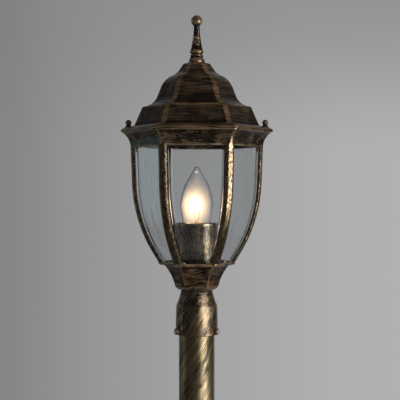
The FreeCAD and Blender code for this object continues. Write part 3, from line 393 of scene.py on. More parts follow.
for side, azimuth in screwAzimuths.items():
    grid, faces, values = lockScrew(lockShape, lockShape["fitterLength"])
    grid = laidAlong(grid, polar(lockShape["fitterSeat"], azimuth) + (lockShape["fitterHeight"],), azimuth)
    screwPieces.append(newPiece("fitter_screw_" + side + "_ring", grid, faces, side + "_fitter_screw",
                                ["fitter_screw_" + side], values))
grid, faces, values = lockScrew(lockShape, lockShape["poleLength"])
grid = laidAlong(grid, (lockShape["poleSeat"], 0, lockShape["poleHeight"]), 0)
grid, faces, values = turnedCopies(grid, faces, list(screwAzimuths.values()), values)
screwPieces.append(newPiece("pole_screw_rings", grid, faces, "stand", ["pole_lock_screws"],
                            values))

glassShape = {"thick": 3.0, "setback": 1.3, "edgeGap": 6.4, "arris": 0.35, "top": friezeFloor + 5.5,
              "sharp": 20}


def makeGlass(shape):
    # a panel's outer face lies at (line(v) - bar depth) cos 30 + setback from the axis; its sides follow the
    # six-sided plan at (distance - gap) tan 30, and small arrises blunt its long edges
    line = softOutline(barLine(barShape, ringTop, shape["top"]), 0.3, 3.0)
    outer = (line["radius"][:, None] - barDepth) * math.cos(math.pi / 6) + shape["setback"]
    inner, a, t = outer - shape["thick"], shape["arris"], math.tan(math.pi / 6)
    wide, narrow = (outer - shape["edgeGap"]) * t, (inner - shape["edgeGap"]) * t
    depth = np.concatenate([inner, inner, inner, inner + a, outer - a, outer, outer, outer, outer - a,
                            inner + a],
                           axis=1)
    across = np.concatenate([-narrow + a, 0 * narrow, narrow - a, narrow + a * t, wide - a * t, wide - a,
                             0 * wide, -wide + a, -wide + a * t, -narrow - a * t], axis=1)
    grid = np.stack([depth, -across, line["height"][:, None] + 0 * depth], axis=-1) * mm
    faces = cappedFaces(*depth.shape)
    pieces = []
    for number in range(6):
        turned, same, none = turnedCopies(grid, faces, [270 + 60 * number])
        pieces.append(newPiece("pane_%d" % (number + 1), turned, same, "head",
                               ["glass_panel_%d" % (number + 1)], sharp=shape["sharp"]))
    return pieces


panePieces = makeGlass(glassShape)

bulbShape = {
    "outer": [(12.6, -77.1), (12.6, -73.1), (17.5, -39.5, 0.245), (11.6, -16.6, 1.09), (3.3, -2.6),
              (0, 0, 0.728)],
    "inner": [(0, -0.7), (2.95, -3.3, -0.743), (10.9, -16.6), (16.8, -39.5, -1.09), (11.9, -73.1, -0.245),
              (11.9, -77.1)],
    "around": 72, "rounding": 0.35, "coarse": 0.9,
}
coilShape = {"radius": 7.0, "height": 974.8, "open": 70.0, "turns": 64, "coil": 0.42, "wire": 0.13,
             "pointsPerTurn": 10, "sides": 5}
glowShape = {
    "outline": [(0, -60.0), (14.0, -60.0), (16.4, -40.0, 0.2), (10.0, -17.5, 1.0), (2.0, -5.0),
                (0, -4.4, 0.1)],
    "level": bulbTop, "around": 48, "rounding": 0.8, "coarse": 2.5,
}


def makeEnvelope(shape):
    # point(row, a) = (r(row) cos a, r(row) sin a, z(row)) up the outer line and down the inner one
    outer, inner = [softOutline(lifted(shape[side], bulbTop), shape["rounding"], shape["coarse"])
                    for side in ("outer", "inner")]
    radius = np.concatenate([outer["radius"], inner["radius"]])[:, None]
    height = np.concatenate([outer["height"], inner["height"]])[:, None]
    around, rows = shape["around"], len(outer["radius"])
    angle = np.linspace(0, 2 * np.pi, around, endpoint=False)
    grid = np.stack([radius * np.cos(angle), radius * np.sin(angle), height + 0 * angle], -1) * mm
    faces = gridFaces(rows, around, False, (False, True))
    faces += gridFaces(len(radius) - rows, around, False, (True, False), rows * around)
    foot = np.arange(around)
    last = (len(radius) - 1) * around + foot
    faces += np.stack([last, np.roll(last, -1), np.roll(foot, -1), foot], 1).tolist()
    return newPiece("bulb_envelope", grid, faces, "bulb", ["bulb_glass"])


def makeFilament(shape):
    # path(t) = a helix of radius c wound along most of a level ring; the wire's round is swept along it
    t = np.linspace(0, 1, shape["turns"] * shape["pointsPerTurn"])
    ringAngle = np.radians(270 + shape["open"] / 2 + (360 - shape["open"]) * t)
    wind = 2 * np.pi * shape["turns"] * t
    far = shape["radius"] + shape["coil"] * np.cos(wind)
    height = shape["height"] + shape["coil"] * np.sin(wind)
    path = np.stack([far * np.cos(ringAngle), far * np.sin(ringAngle), height], 1)
    ahead = np.gradient(path, axis=0)
    ahead /= np.linalg.norm(ahead, axis=1)[:, None]
    side = np.cross(ahead, [0, 0, 1.0])
    side /= np.linalg.norm(side, axis=1)[:, None]
    up = np.cross(side, ahead)
    w = np.linspace(0, 2 * np.pi, shape["sides"], endpoint=False)[None, :, None]
    tube = path[:, None] + shape["wire"] * (np.cos(w) * side[:, None] + np.sin(w) * up[:, None])
    faces = [face[::-1] for face in gridFaces(len(t), shape["sides"])]
    return newPiece("filament_coil", tube * mm, faces, "bulb", ["bulb_filament"])


bulbPiece, filamentPiece = makeEnvelope(bulbShape), makeFilament(coilShape)
grid, faces, values = turnedGrid(**glowShape)  # a closed shape a little inside the envelope
glowPiece = newPiece("bulb_glow", grid, faces, "bulb", [])

baseShape = {
    "outline": [(16.0, 44.0), (26.0, 44.0), (68.0, 13.5, 2.8), (68.0, 2.5), (105.0, 2.5), (105.0, 14.0),
                (103.0, 16.0), (79.0, 16.0), (79.0, 17.5), (77.5, 19.0), (28.0, 60.0, -10.5),
                (28.0, 66.0, 2.5), (25.0, 66.0), (25.0, 93.5), (23.5, 95.0), (19.06, 95.0), (19.06, 50.0),
                (16.0, 50.0)],
    "around": 144, "closed": True, "rounding": 0.35, "coarse": 2.2,
}
baseHoles = {"anchorRadius": 4.5, "anchorCircle": 91.0, "anchorAzimuths": (45, 135, 225, 315),
             "anchorFloor": -5, "anchorLength": 40, "inletRadius": 5.5, "inletHeight": 9.25,
             "inletStart": 60, "inletLength": 60, "lockRadius": 2.5, "lockStart": 18, "lockLength": 12,
             "sides": 40}


def drill(radius, length, origin, azimuth=None):
    # a round bar for cutting, upright or laid outwards along an azimuth
    sides = baseHoles["sides"]
    angle = np.linspace(0, 2 * np.pi, sides, endpoint=False)
    ring = np.stack([radius * np.cos(angle), radius * np.sin(angle), 0 * angle], 1) * mm
    points = np.concatenate([ring, ring + np.array([0, 0, length * mm])])
    points = points + np.array(origin) * mm if azimuth is None else laidAlong(points, origin, azimuth)
    mesh = bpy.data.meshes.new("drill")
    mesh.from_pydata(points, [], cappedFaces(2, sides))
    return linked("drill", mesh)


def makeBase(shape, holes):
    piece = makeTurned("base_turned", shape, "stand", "base_casting")
    tools = []
    for azimuth in holes["anchorAzimuths"]:
        start = polar(holes["anchorCircle"], azimuth) + (holes["anchorFloor"],)
        tools.append(drill(holes["anchorRadius"], holes["anchorLength"], start))
    start = (0, holes["inletStart"], holes["inletHeight"])
    tools.append(drill(holes["inletRadius"], holes["inletLength"], start, 90))
    for azimuth in screwAzimuths.values():
        start = polar(holes["lockStart"], azimuth) + (lockShape["poleHeight"],)
        tools.append(drill(holes["lockRadius"], holes["lockLength"], start, azimuth))
    for tool in tools:
        cut = piece.modifiers.new("cut", "BOOLEAN")
        cut.object, cut.operation, cut.solver = tool, "DIFFERENCE", "EXACT"
    cutMesh = bpy.data.meshes.new_from_object(piece.evaluated_get(bpy.context.evaluated_depsgraph_get()))
    piece.modifiers.clear()
    piece.data = cutMesh
    for tool in tools:
        bpy.data.objects.remove(tool, do_unlink=True)
    return piece


basePiece = makeBase(baseShape, baseHoles)


def plug(tree, socket, value):
    # links a socket, or sets a value; nothing is done for None
    if value is None:
        return
    if isinstance(value, bpy.types.NodeSocket):
        tree.links.new(value, socket)
    elif hasattr(socket.default_value, "__len__") and len(socket.default_value) == 4 and len(value) == 3:
        socket.default_value = (*value, 1)
    else:
        socket.default_value = value


def node(tree, kind, settings=None, **inputs):
    made = tree.nodes.new(kind)
    for key, value in (settings or {}).items():
        setattr(made, key, value)
    for key, value in inputs.items():
        plug(tree, made.inputs[key.replace("_", " ")], value)
    return made


def maths(tree, operation, a, b=None, clamp=False):
    made = node(tree, "ShaderNodeMath", {"operation": operation, "use_clamp": clamp})
    for socket, value in zip(made.inputs, (a, b)):
        plug(tree, socket, value)
    return made.outputs[0]


def times(tree, a, b, clamp=False):
    return maths(tree, "MULTIPLY", a, b, clamp)


def plus(tree, a, b, clamp=False):
    return maths(tree, "ADD", a, b, clamp)


def minus(tree, a, b):
    return maths(tree, "SUBTRACT", a, b)


def spread(tree, value, low, high, smooth=False, ends=(0.0, 1.0)):
    # runs from the first end to the second as the value goes from low to high
    made = node(tree, "ShaderNodeMapRange", {"interpolation_type": "SMOOTHSTEP" if smooth else "LINEAR"},
                Value=value, From_Min=low, From_Max=high, To_Min=ends[0], To_Max=ends[1])
    return made.outputs["Result"]


def noiseMask(tree, vector, scale, detail=4.0, roughness=0.6, low=0.34, high=0.66):
    made = node(tree, "ShaderNodeTexNoise", None, Vector=vector, Scale=scale, Detail=detail,
                Roughness=roughness)
    return spread(tree, made.outputs["Fac"], low, high)


def mixed(tree, factor, a, b, kind="RGBA"):
    made = node(tree, "ShaderNodeMix", {"data_type": kind}, Factor=factor)
    first = 6 if kind == "RGBA" else 2  # the node keeps its sockets for colours behind those for values
    plug(tree, made.inputs[first], a)
    plug(tree, made.inputs[first + 1], b)
    return made.outputs[first // 3]


def mixedValue(tree, factor, a, b):
    return mixed(tree, factor, a, b, "FLOAT")


def objectPlace(tree):
    return node(tree, "ShaderNodeTexCoord").outputs["Object"]


def read(tree, key):
    return node(tree, "ShaderNodeAttribute", {"attribute_name": key}).outputs["Fac"]


def newGroup(name, inputs, outputs):
    # inputs are named with their values, and None stands for a vector
    group = bpy.data.node_groups.new(name, "ShaderNodeTree")
    for label, value in inputs.items():
        kind = "NodeSocketVector" if value is None else "NodeSocketFloat"
        socket = group.interface.new_socket(label, in_out="INPUT", socket_type=kind)
        if value is not None:
            socket.default_value = value
    for label, kind in outputs.items():
        group.interface.new_socket(label, in_out="OUTPUT", socket_type="NodeSocket" + kind)
    return group, group.nodes.new("NodeGroupInput").outputs, group.nodes.new("NodeGroupOutput").inputs


def makeDryBrush():
    # gold shows where strokes + patches + wear - shelter pass a level set by the cover, times the amount
    # (all of it where worn); on the corner flats gold = flat gold + break (strokes - 1/2) instead
    group, into, out = newGroup(
        "dryBrush",
        {"Strokes": None, "Place": None, "Worn": 0.0, "Sheltered": 0.0, "Cover": 0.4, "Patch Size": 60.0,
         "Patch Amount": 0.5, "Softness": 0.12, "Amount": 1.0, "Flat": 0.0, "Flat Gold": 0.5,
         "Flat Break": 0.5},
        {"Gold": "Float", "Height": "Float"})
    fine = noiseMask(group, into["Strokes"], 1.0, 6.0, 0.68)
    patch = noiseMask(group, into["Place"], into["Patch Size"], 3.0, 0.55)
    uneven = plus(group, fine, times(group, minus(group, patch, 0.5), into["Patch Amount"]))
    wear = minus(group, times(group, into["Worn"], 0.6), times(group, into["Sheltered"], 0.7))
    level = minus(group, 1.0, into["Cover"])
    shown = spread(group, plus(group, uneven, wear), minus(group, level, into["Softness"]),
                   plus(group, level, into["Softness"]), True)
    stroke = times(group, shown, mixedValue(group, into["Worn"], into["Amount"], 1.0))
    broken = times(group, minus(group, uneven, 0.5), into["Flat Break"])
    even = plus(group, into["Flat Gold"], broken, True)
    plug(group, out["Gold"], mixedValue(group, into["Flat"], stroke, even))
    plug(group, out["Height"], fine)
    return group


def makeCastPits():
    # the skin of a sand casting: low swells, fine grain, and a few pin holes
    group, into, out = newGroup("castPits", {"Place": None, "Grain": 900.0, "Holes": 0.5},
                                {"Height": "Float", "Pit": "Float"})
    swell = noiseMask(group, into["Place"], 140.0, 3.0, 0.5, 0.2, 0.8)
    grain = noiseMask(group, into["Place"], into["Grain"], 3.0, 0.6, 0.2, 0.8)
    cells = node(group, "ShaderNodeTexVoronoi", None, Vector=into["Place"], Scale=420.0)
    deep = times(group, spread(group, cells.outputs["Distance"], 0.16, 0.05), into["Holes"])
    height = plus(group, times(group, swell, 0.6), times(group, grain, 0.25))
    plug(group, out["Height"], minus(group, height, deep))
    plug(group, out["Pit"], deep)
    return group


def makeTwist():
    # turns the place about the upright axis by an angle that grows with height, so strokes climb in a spiral
    group, into, out = newGroup("twist", {"Place": None, "Turn per Metre": 0.0}, {"Place": "Vector"})
    parts = node(group, "ShaderNodeSeparateXYZ", None, Vector=into["Place"])
    angle = times(group, parts.outputs["Z"], times(group, into["Turn per Metre"], -1.0))
    spin = node(group, "ShaderNodeVectorRotate", {"rotation_type": "Z_AXIS"}, Vector=into["Place"],
                Angle=angle)
    plug(group, out["Place"], spin.outputs["Vector"])
    return group


def makeHandled():
    # small changes of tone, fine scratches and a grained height for plain metal, rubber and plastic
    group, into, out = newGroup("handled", {"Place": None, "Size": 300.0, "Scratches": 0.5},
                                {"Tone": "Float", "Height": "Float"})
    tone = noiseMask(group, into["Place"], into["Size"], 5.0, 0.6, 0.25, 0.75)
    drawn = node(group, "ShaderNodeMapping", None, Vector=into["Place"], Rotation=(0.5, 0.3, 0.9),
                 Scale=(2600, 120, 400))
    scratch = noiseMask(group, drawn.outputs["Vector"], 1.0, 3.0, 0.6, 0.55, 0.75)
    grain = noiseMask(group, into["Place"], 2400.0, 2.0)
    marks = times(group, scratch, into["Scratches"])
    plug(group, out["Tone"], plus(group, tone, times(group, marks, 0.4), True))
    plug(group, out["Height"], plus(group, times(group, marks, -0.6), times(group, grain, 0.3)))
    return group


dryBrush, castPits, twist, handled = makeDryBrush(), makeCastPits(), makeTwist(), makeHandled()


def placed(tree, group, **inputs):
    return node(tree, "ShaderNodeGroup", {"node_tree": group}, **inputs).outputs


def newMaterial(name, plain):
    # a new material with a bare Principled shader; plain holds what is set on the shader's own sockets
    material = bpy.data.materials.new(name)
    material.use_nodes = True
    shader = material.node_tree.nodes["Principled BSDF"]
    for key, value in plain.items():
        plug(material.node_tree, shader.inputs[key], value)
    return material, material.node_tree, shader


def bumped(tree, shader, height, distance):
    bump = node(tree, "ShaderNodeBump", None, Height=height, Strength=1.0, Distance=distance)
    tree.links.new(bump.outputs["Normal"], shader.inputs["Normal"])


# Cast and tubular metal: strokes are (across, along) per metre, a turn makes them climb, a wave bends them,
# drawn stretches the patches, and flat is (gold, break) on the corner flats.
lacquer = {"dark": (0.0042, 0.003, 0.0024), "brown": (0.011, 0.006, 0.0034), "gold": (0.64, 0.49, 0.3),
           "deepGold": (0.36, 0.22, 0.1), "rough": (0.3, 0.28), "metal": 0.95, "soft": 0.15, "holes": 0.3,
           "bump": 0.00012, "run": True, "turn": None, "wave": None, "drawn": None, "flat": None,
           "grain": 900.0, "thinSize": 0.37, "brownSize": 180.0, "relief": 0.6, "roughSpread": 0.12}
castLooks = {
    "castRoof": {"deepGold": (0.32, 0.17, 0.07), "gold": (0.52, 0.36, 0.2), "strokes": (40, 1500),
                 "cover": 0.36, "amount": 0.18, "flat": (0.42, 1.2), "patch": (60, 0.35), "soft": 0.25,
                 "worn": 0.3, "bump": 0.00005},
    "castFrieze": {"deepGold": (0.44, 0.25, 0.12), "gold": (0.72, 0.54, 0.34), "strokes": (110, 1500),
                   "cover": 0.4, "amount": 0.34, "flat": (0.95, 1.1), "patch": (90, 0.4), "worn": 0.3,
                   "soft": 0.25, "bump": 0.00006},
    "castBars": {"strokes": (600, 420), "cover": 0.22, "amount": 0.3, "flat": (0.6, 1.3),
                 "patch": (200, 0.4), "soft": 0.2, "rough": (0.26, 0.24), "metal": 2.0, "worn": 0.2,
                 "bump": 0.00007, "gold": (0.7, 0.56, 0.38)},
    "castCup": {"deepGold": (0.34, 0.18, 0.08), "gold": (0.56, 0.38, 0.22), "strokes": (60, 640),
                "cover": 0.4, "amount": 0.36, "flat": (0.5, 0.8), "patch": (80, 0.4), "wave": (70, 0.006),
                "worn": 0.3, "soft": 0.25, "bump": 0.00008},
    "castFitter": {"strokes": (1200, 110), "turn": 30.0, "cover": 0.42, "amount": 1.0, "drawn": 0.4,
                   "patch": (80, 0.6), "run": False, "worn": 0.2, "bump": 0.00011, "metal": 1.5,
                   "rough": (0.3, 0.33), "gold": (0.68, 0.54, 0.36)},
    "brushedPole": {"strokes": (1200, 75), "turn": 34.2, "cover": 0.57, "amount": 1.0, "drawn": 0.2,
                    "patch": (60, 0.6), "run": False, "worn": 0.3, "bump": 0.0001, "metal": 1.5,
                    "rough": (0.3, 0.35), "holes": 0.1, "gold": (0.66, 0.54, 0.33),
                    "deepGold": (0.42, 0.3, 0.14)},
    "speckledSleeve": {"strokes": (900, 200), "cover": 0.4, "amount": 0.8, "metal": 3.0, "patch": (70, 0.5),
                       "run": False, "worn": 0.9, "gold": (0.66, 0.57, 0.42), "soft": 0.3, "bump": 0.00003},
    "castFinial": {"strokes": (200, 420), "cover": 0.36, "amount": 0.65, "patch": (120, 0.5), "worn": 0.4,
                   "gold": (0.62, 0.44, 0.27), "deepGold": (0.34, 0.19, 0.09)},
    "castBase": {"strokes": (30, 700), "cover": 0.36, "amount": 0.6, "patch": (40, 0.5),
                 "wave": (60, 0.003), "worn": 0.7},
}


def castFinish(name, changes):
    # dark lacquer with gold brushed over what stands proud; strokes run across, or climb where it is twisted
    look = {**lacquer, **changes}
    material, tree, shader = newMaterial(name, {"Specular IOR Level": 0.35, "Coat Weight": 0.35,
                                                "Coat Roughness": 0.14, "Coat IOR": 1.45})
    coords = objectPlace(tree)
    place = coords
    if look["turn"]:
        place = placed(tree, twist, Place=coords, Turn_per_Metre=look["turn"])["Place"]
    parts = node(tree, "ShaderNodeSeparateXYZ", None, Vector=place).outputs
    along = read(tree, "run") if look["run"] else parts["Z"]
    if look["wave"]:
        drift = noiseMask(tree, place, look["wave"][0], 2.0, 0.5, 0.3, 0.7)
        along = plus(tree, along, times(tree, drift, look["wave"][1]))
    wide, tall = look["strokes"]
    strokes = node(tree, "ShaderNodeCombineXYZ", None, X=times(tree, parts["X"], wide),
                   Y=times(tree, parts["Y"], wide), Z=times(tree, along, tall)).outputs["Vector"]
    area = place
    if look["drawn"]:
        area = node(tree, "ShaderNodeCombineXYZ", None, X=parts["X"], Y=parts["Y"],
                    Z=times(tree, parts["Z"], look["drawn"])).outputs["Vector"]
    flatGold, flatBreak = look["flat"] or (0.0, 0.0)
    brushed = placed(tree, dryBrush, Strokes=strokes, Place=area,
                     Worn=times(tree, read(tree, "worn"), look["worn"]), Sheltered=read(tree, "sheltered"),
                     Cover=look["cover"], Patch_Size=look["patch"][0], Patch_Amount=look["patch"][1],
                     Softness=look["soft"], Amount=look["amount"],
                     Flat=read(tree, "hip") if look["flat"] else None, Flat_Gold=flatGold,
                     Flat_Break=flatBreak)
    pits = placed(tree, castPits, Place=coords, Grain=look["grain"], Holes=look["holes"])
    gold = times(tree, brushed["Gold"], minus(tree, 1.0, pits["Pit"]))
    thin = noiseMask(tree, strokes, look["thinSize"])
    goldTone = mixed(tree, thin, look["deepGold"], look["gold"])
    darkTone = mixed(tree, noiseMask(tree, place, look["brownSize"]), look["dark"], look["brown"])
    plug(tree, shader.inputs["Base Color"], mixed(tree, gold, darkTone, goldTone))
    plug(tree, shader.inputs["Metallic"], times(tree, gold, look["metal"], True))
    rough = mixedValue(tree, gold, *look["rough"])
    uneven = times(tree, minus(tree, thin, 0.5), look["roughSpread"])
    plug(tree, shader.inputs["Roughness"], plus(tree, rough, uneven))
    height = plus(tree, times(tree, brushed["Height"], look["relief"]),
                  times(tree, pits["Height"], look["relief"]))
    bumped(tree, shader, height, look["bump"])
    return material


# socket is a pale colour painted into the socket as a highlight
screwLook = {"dark": (0.008, 0.006, 0.005), "bronze": (0.05, 0.03, 0.017), "worn": (0.3, 0.21, 0.13),
             "socket": (0.62, 0.6, 0.57), "rough": (0.3, 0.42), "size": 500.0, "scratches": 0.6,
             "bump": 0.00004}


def screwFinish(look):
    # dark bronze screws; the socket's inside is coloured pale, a painted highlight in the middle of the head
    material, tree, shader = newMaterial("screwBronze", {"Specular IOR Level": 0.45})
    marks = placed(tree, handled, Place=objectPlace(tree), Size=look["size"], Scratches=look["scratches"])
    socket = read(tree, "socket")
    worn = times(tree, read(tree, "worn"), times(tree, marks["Tone"], 0.5))
    bright = maths(tree, "MAXIMUM", times(tree, worn, 0.5), times(tree, socket, 0.1))
    tone = mixed(tree, worn, mixed(tree, marks["Tone"], look["dark"], look["bronze"]), look["worn"])
    # the pale socket colour is a painted highlight, not the screw's own metal
    plug(tree, shader.inputs["Base Color"], mixed(tree, socket, tone, look["socket"]))
    plug(tree, shader.inputs["Metallic"], times(tree, plus(tree, bright, 0.25), 0.8, True))
    plug(tree, shader.inputs["Roughness"], mixedValue(tree, marks["Tone"], *look["rough"]))
    bumped(tree, shader, marks["Height"], look["bump"])
    return material


plainLooks = {
    "zincSteel": {"low": (0.42, 0.42, 0.41), "high": (0.62, 0.61, 0.58), "metal": 1.0,
                  "rough": (0.28, 0.45), "size": 400.0, "scratches": 0.7},
    "brassContact": {"low": (0.58, 0.38, 0.13), "high": (0.78, 0.58, 0.26), "metal": 1.0,
                     "rough": (0.2, 0.36), "size": 500.0, "scratches": 0.6},
    "nickelCap": {"low": (0.5, 0.48, 0.44), "high": (0.68, 0.66, 0.61), "metal": 1.0, "rough": (0.16, 0.3),
                  "size": 350.0, "scratches": 0.5},
    "darkRubber": {"low": (0.012, 0.012, 0.012), "high": (0.03, 0.029, 0.027), "metal": 0.0,
                   "rough": (0.6, 0.8), "size": 260.0, "scratches": 0.2, "gloss": 0.3, "bump": 0.0001},
    "blackInsulator": {"low": (0.01, 0.01, 0.011), "high": (0.025, 0.024, 0.024), "metal": 0.0,
                       "rough": (0.15, 0.3), "size": 300.0, "scratches": 0.3},
    "holderWhite": {"low": (0.62, 0.6, 0.55), "high": (0.76, 0.74, 0.69), "metal": 0.0,
                    "rough": (0.12, 0.24), "size": 160.0, "scratches": 0.2, "coat": 0.3},
    "leadSheath": {"low": (0.03, 0.03, 0.032), "high": (0.055, 0.054, 0.053), "metal": 0.0,
                   "rough": (0.45, 0.6), "size": 220.0, "scratches": 0.3, "gloss": 0.4},
    "terminalCream": {"low": (0.58, 0.53, 0.42), "high": (0.7, 0.66, 0.55), "metal": 0.0,
                      "rough": (0.3, 0.45), "size": 200.0, "scratches": 0.3},
    "darkZinc": {"low": (0.02, 0.018, 0.016), "high": (0.06, 0.055, 0.05), "metal": 0.8,
                 "rough": (0.3, 0.45), "size": 400.0, "scratches": 0.6},
    "thinWire": {"low": (0.4, 0.38, 0.35), "high": (0.6, 0.57, 0.52), "metal": 1.0, "rough": (0.25, 0.35),
                 "size": 700.0, "scratches": 0.2},
}


def plainFinish(name, look):
    # a plain metal, rubber or plastic with the marks of handling
    material, tree, shader = newMaterial(name, {
        "Metallic": look["metal"], "Specular IOR Level": look.get("gloss", 0.5),
        "Coat Weight": look.get("coat", 0.0), "Coat Roughness": 0.15})
    marks = placed(tree, handled, Place=objectPlace(tree), Size=look["size"], Scratches=look["scratches"])
    plug(tree, shader.inputs["Base Color"], mixed(tree, marks["Tone"], look["low"], look["high"]))
    plug(tree, shader.inputs["Roughness"], mixedValue(tree, marks["Tone"], *look["rough"]))
    bumped(tree, shader, marks["Height"], look.get("bump", 0.00004))
    return material


glassLooks = {
    "paneGlass": {"tint": (0.89, 0.905, 0.915), "pale": (0.905, 0.92, 0.925), "ior": 1.5,
                  "stretch": (1, 1, 0.12), "waves": 90.0, "bump": 0.00015},
    "bulbGlass": {"tint": (0.97, 0.97, 0.97), "pale": (0.99, 0.99, 0.99), "ior": 1.35,
                  "stretch": (1, 1, 0.5), "waves": 60.0, "bump": 0.00001},
    "stemGlass": {"tint": (0.93, 0.93, 0.93), "pale": (0.96, 0.96, 0.95), "ior": 1.5,
                  "stretch": (1, 1, 0.5), "waves": 120.0, "bump": 0.00003},
}


def glassFinish(name, look):
    # clear glass that lets the lamps' light through; slow waves in its faces bend what is seen in it
    material, tree, shader = newMaterial(name, {"Transmission Weight": 1.0, "Metallic": 0.0,
                                                "Roughness": 0.0, "IOR": look["ior"]})
    coords = objectPlace(tree)
    bent = node(tree, "ShaderNodeMapping", None, Vector=coords, Scale=look["stretch"])
    wave = noiseMask(tree, bent.outputs["Vector"], look["waves"], 2.0, 0.4, 0.2, 0.8)
    smear = noiseMask(tree, coords, 30.0, low=0.4, high=0.8)
    plug(tree, shader.inputs["Base Color"], mixed(tree, smear, look["tint"], look["pale"]))
    bumped(tree, shader, wave, look["bump"])
    clear = node(tree, "ShaderNodeBsdfTransparent", None, Color=look["tint"])
    shadow = node(tree, "ShaderNodeLightPath").outputs["Is Shadow Ray"]
    share = node(tree, "ShaderNodeMixShader", None, Fac=shadow)
    tree.links.new(shader.outputs[0], share.inputs[1])
    tree.links.new(clear.outputs[0], share.inputs[2])
    tree.links.new(share.outputs[0], tree.nodes["Material Output"].inputs["Surface"])
    return material


def filamentFinish():
    # a hot wire whose light changes a little along it
    material, tree, shader = newMaterial("filamentGlow", {"Base Color": (0.2, 0.19, 0.18), "Metallic": 1.0,
                                                          "Roughness": 0.4, "Emission Strength": 4.0})
    tone = noiseMask(tree, objectPlace(tree), 900.0, 2.0)
    plug(tree, shader.inputs["Emission Color"], mixed(tree, tone, (1.0, 0.72, 0.42), (1.0, 0.82, 0.58)))
    return material


glowLook = {
    "core": {"place": (0.3, 0, 979.5), "reach": (3.4, 3.4, 5.0), "light": 320.0,
             "colour": (1.0, 0.88, 0.68)},
    "halo": {"place": (-3.6, 0, 977.5), "reach": (12.5, 12.5, 14.0), "light": 140.0,
             "colour": (1.0, 0.66, 0.36)},
    # painted highlight: a small glowing spot at the envelope's tip that stands in for the glass's reflection
    "paintedTipGlint": {"place": (-0.3, 0, 1013.4), "reach": (1.3, 1.3, 1.1), "light": 420.0},
}


def glowFinish(look):
    # light(p) = core exp(-q) + halo exp(-q') + glint exp(-q''), q the squared distance over each one's
    # reach; the glint is a painted highlight, a glowing spot at the envelope's tip in place of the glass's
    # reflection there
    material = bpy.data.materials.new("bulbGlow")
    material.use_nodes = True
    tree = material.node_tree
    tree.nodes.remove(tree.nodes["Principled BSDF"])
    coords = objectPlace(tree)

    def blob(part):
        move = node(tree, "ShaderNodeMapping", {"vector_type": "TEXTURE"}, Vector=coords,
                    Location=tuple(v * mm for v in part["place"]),
                    Scale=tuple(v * mm for v in part["reach"]))
        far = node(tree, "ShaderNodeVectorMath", {"operation": "DOT_PRODUCT"})
        tree.links.new(move.outputs["Vector"], far.inputs[0])
        tree.links.new(move.outputs["Vector"], far.inputs[1])
        return times(tree, maths(tree, "EXPONENT", times(tree, far.outputs["Value"], -1.0)), part["light"])

    # the tip's painted highlight is added to the core and glows in the core's colour
    core, halo = plus(tree, blob(look["core"]), blob(look["paintedTipGlint"])), blob(look["halo"])
    total = plus(tree, core, halo)
    share = maths(tree, "DIVIDE", core, total, True)
    tone = mixed(tree, share, look["halo"]["colour"], look["core"]["colour"])
    emit = node(tree, "ShaderNodeEmission", None, Color=tone, Strength=total)
    tree.links.new(emit.outputs[0], tree.nodes["Material Output"].inputs["Volume"])
    return material


finishes = {name: castFinish(name, look) for name, look in castLooks.items()}
finishes["screwBronze"] = screwFinish(screwLook)
finishes.update({name: plainFinish(name, look) for name, look in plainLooks.items()})
finishes.update({name: glassFinish(name, look) for name, look in glassLooks.items()})
finishes["filamentGlow"], finishes["bulbGlow"] = filamentFinish(), glowFinish(glowLook)

pieceFinishes = {
    "castRoof": [roofPiece], "castFrieze": cagePieces[:2], "castBars": cagePieces[2:],
    "castCup": [cupPiece], "castFitter": [fitterPiece], "brushedPole": [polePiece],
    "speckledSleeve": [sleevePiece], "castFinial": [finialPiece], "castBase": [basePiece],
    "bulbGlass": [bulbPiece], "filamentGlow": [filamentPiece], "bulbGlow": [glowPiece],
    "screwBronze": screwPieces, "paneGlass": panePieces,
}
for name, pieces in pieceFinishes.items():
    for piece in pieces:
        piece.data.materials.clear()
        piece.data.materials.append(finishes[name])

nodeFinishes = {
    "darkRubber": ["base_gasket", "cable_grommet", "neck_gasket"],
    "zincSteel": ["bottom_cover", "cover_screws", "nipple", "fitter_nut", "cup_washer", "cup_nut",
                  "holder_collar", "cup_screws", "finial_stud", "finial_washer", "finial_nut"],
    "brassContact": ["earth_screw", "terminal_contacts", "lampholder_shell", "centre_contact",
                     "bulb_button"],
    "darkZinc": ["glass_clips", "clip_screws"], "leadSheath": ["lead_lower", "lead_upper"],
    "terminalCream": ["terminal_block"], "holderWhite": ["lampholder_body"], "nickelCap": ["bulb_cap"],
    "blackInsulator": ["bulb_insulator"], "stemGlass": ["bulb_stem"], "thinWire": ["bulb_wires"],
}
for name, nodes in nodeFinishes.items():
    for key in nodes:
        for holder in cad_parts[key].material_slots:
            holder.material = finishes[name]
print("finishes set:", len(finishes))

floorLook = {"reach": 3.0, "fade": (0.55, 0.98), "tone": (0.6, 0.6, 0.6), "shade": 0.98, "rings": 12,
             "around": 96}


def makeFloor(look):
    # point(row, a) = (r cos a, r sin a, 0), with an edge that fades out
    angle = np.linspace(0, 2 * np.pi, look["around"], endpoint=False)
    far = np.linspace(0, look["reach"], look["rings"])[:, None]
    grid = np.stack([far * np.cos(angle), far * np.sin(angle), 0 * far * angle], -1)
    mesh = bpy.data.meshes.new("floor")
    faces = gridFaces(look["rings"], look["around"], False, (True, False))
    mesh.from_pydata(grid.reshape(-1, 3), [], faces)
    floor = linked("floor", mesh)
    floor.visible_glossy = False
    material, tree, shader = newMaterial("paleFloor", {"Roughness": 0.75, "Specular IOR Level": 0.2})
    coords = objectPlace(tree)
    tone = noiseMask(tree, coords, 3.0, 3.0, 0.5)
    shade = tuple(v * look["shade"] for v in look["tone"])
    plug(tree, shader.inputs["Base Color"], mixed(tree, tone, shade, look["tone"]))
    length = node(tree, "ShaderNodeVectorMath", {"operation": "LENGTH"}, Vector=coords).outputs["Value"]
    start, end = (look["reach"] * share for share in look["fade"])
    plug(tree, shader.inputs["Alpha"], spread(tree, length, start, end, True, (1.0, 0.0)))
    mesh.materials.append(material)


makeFloor(floorLook)

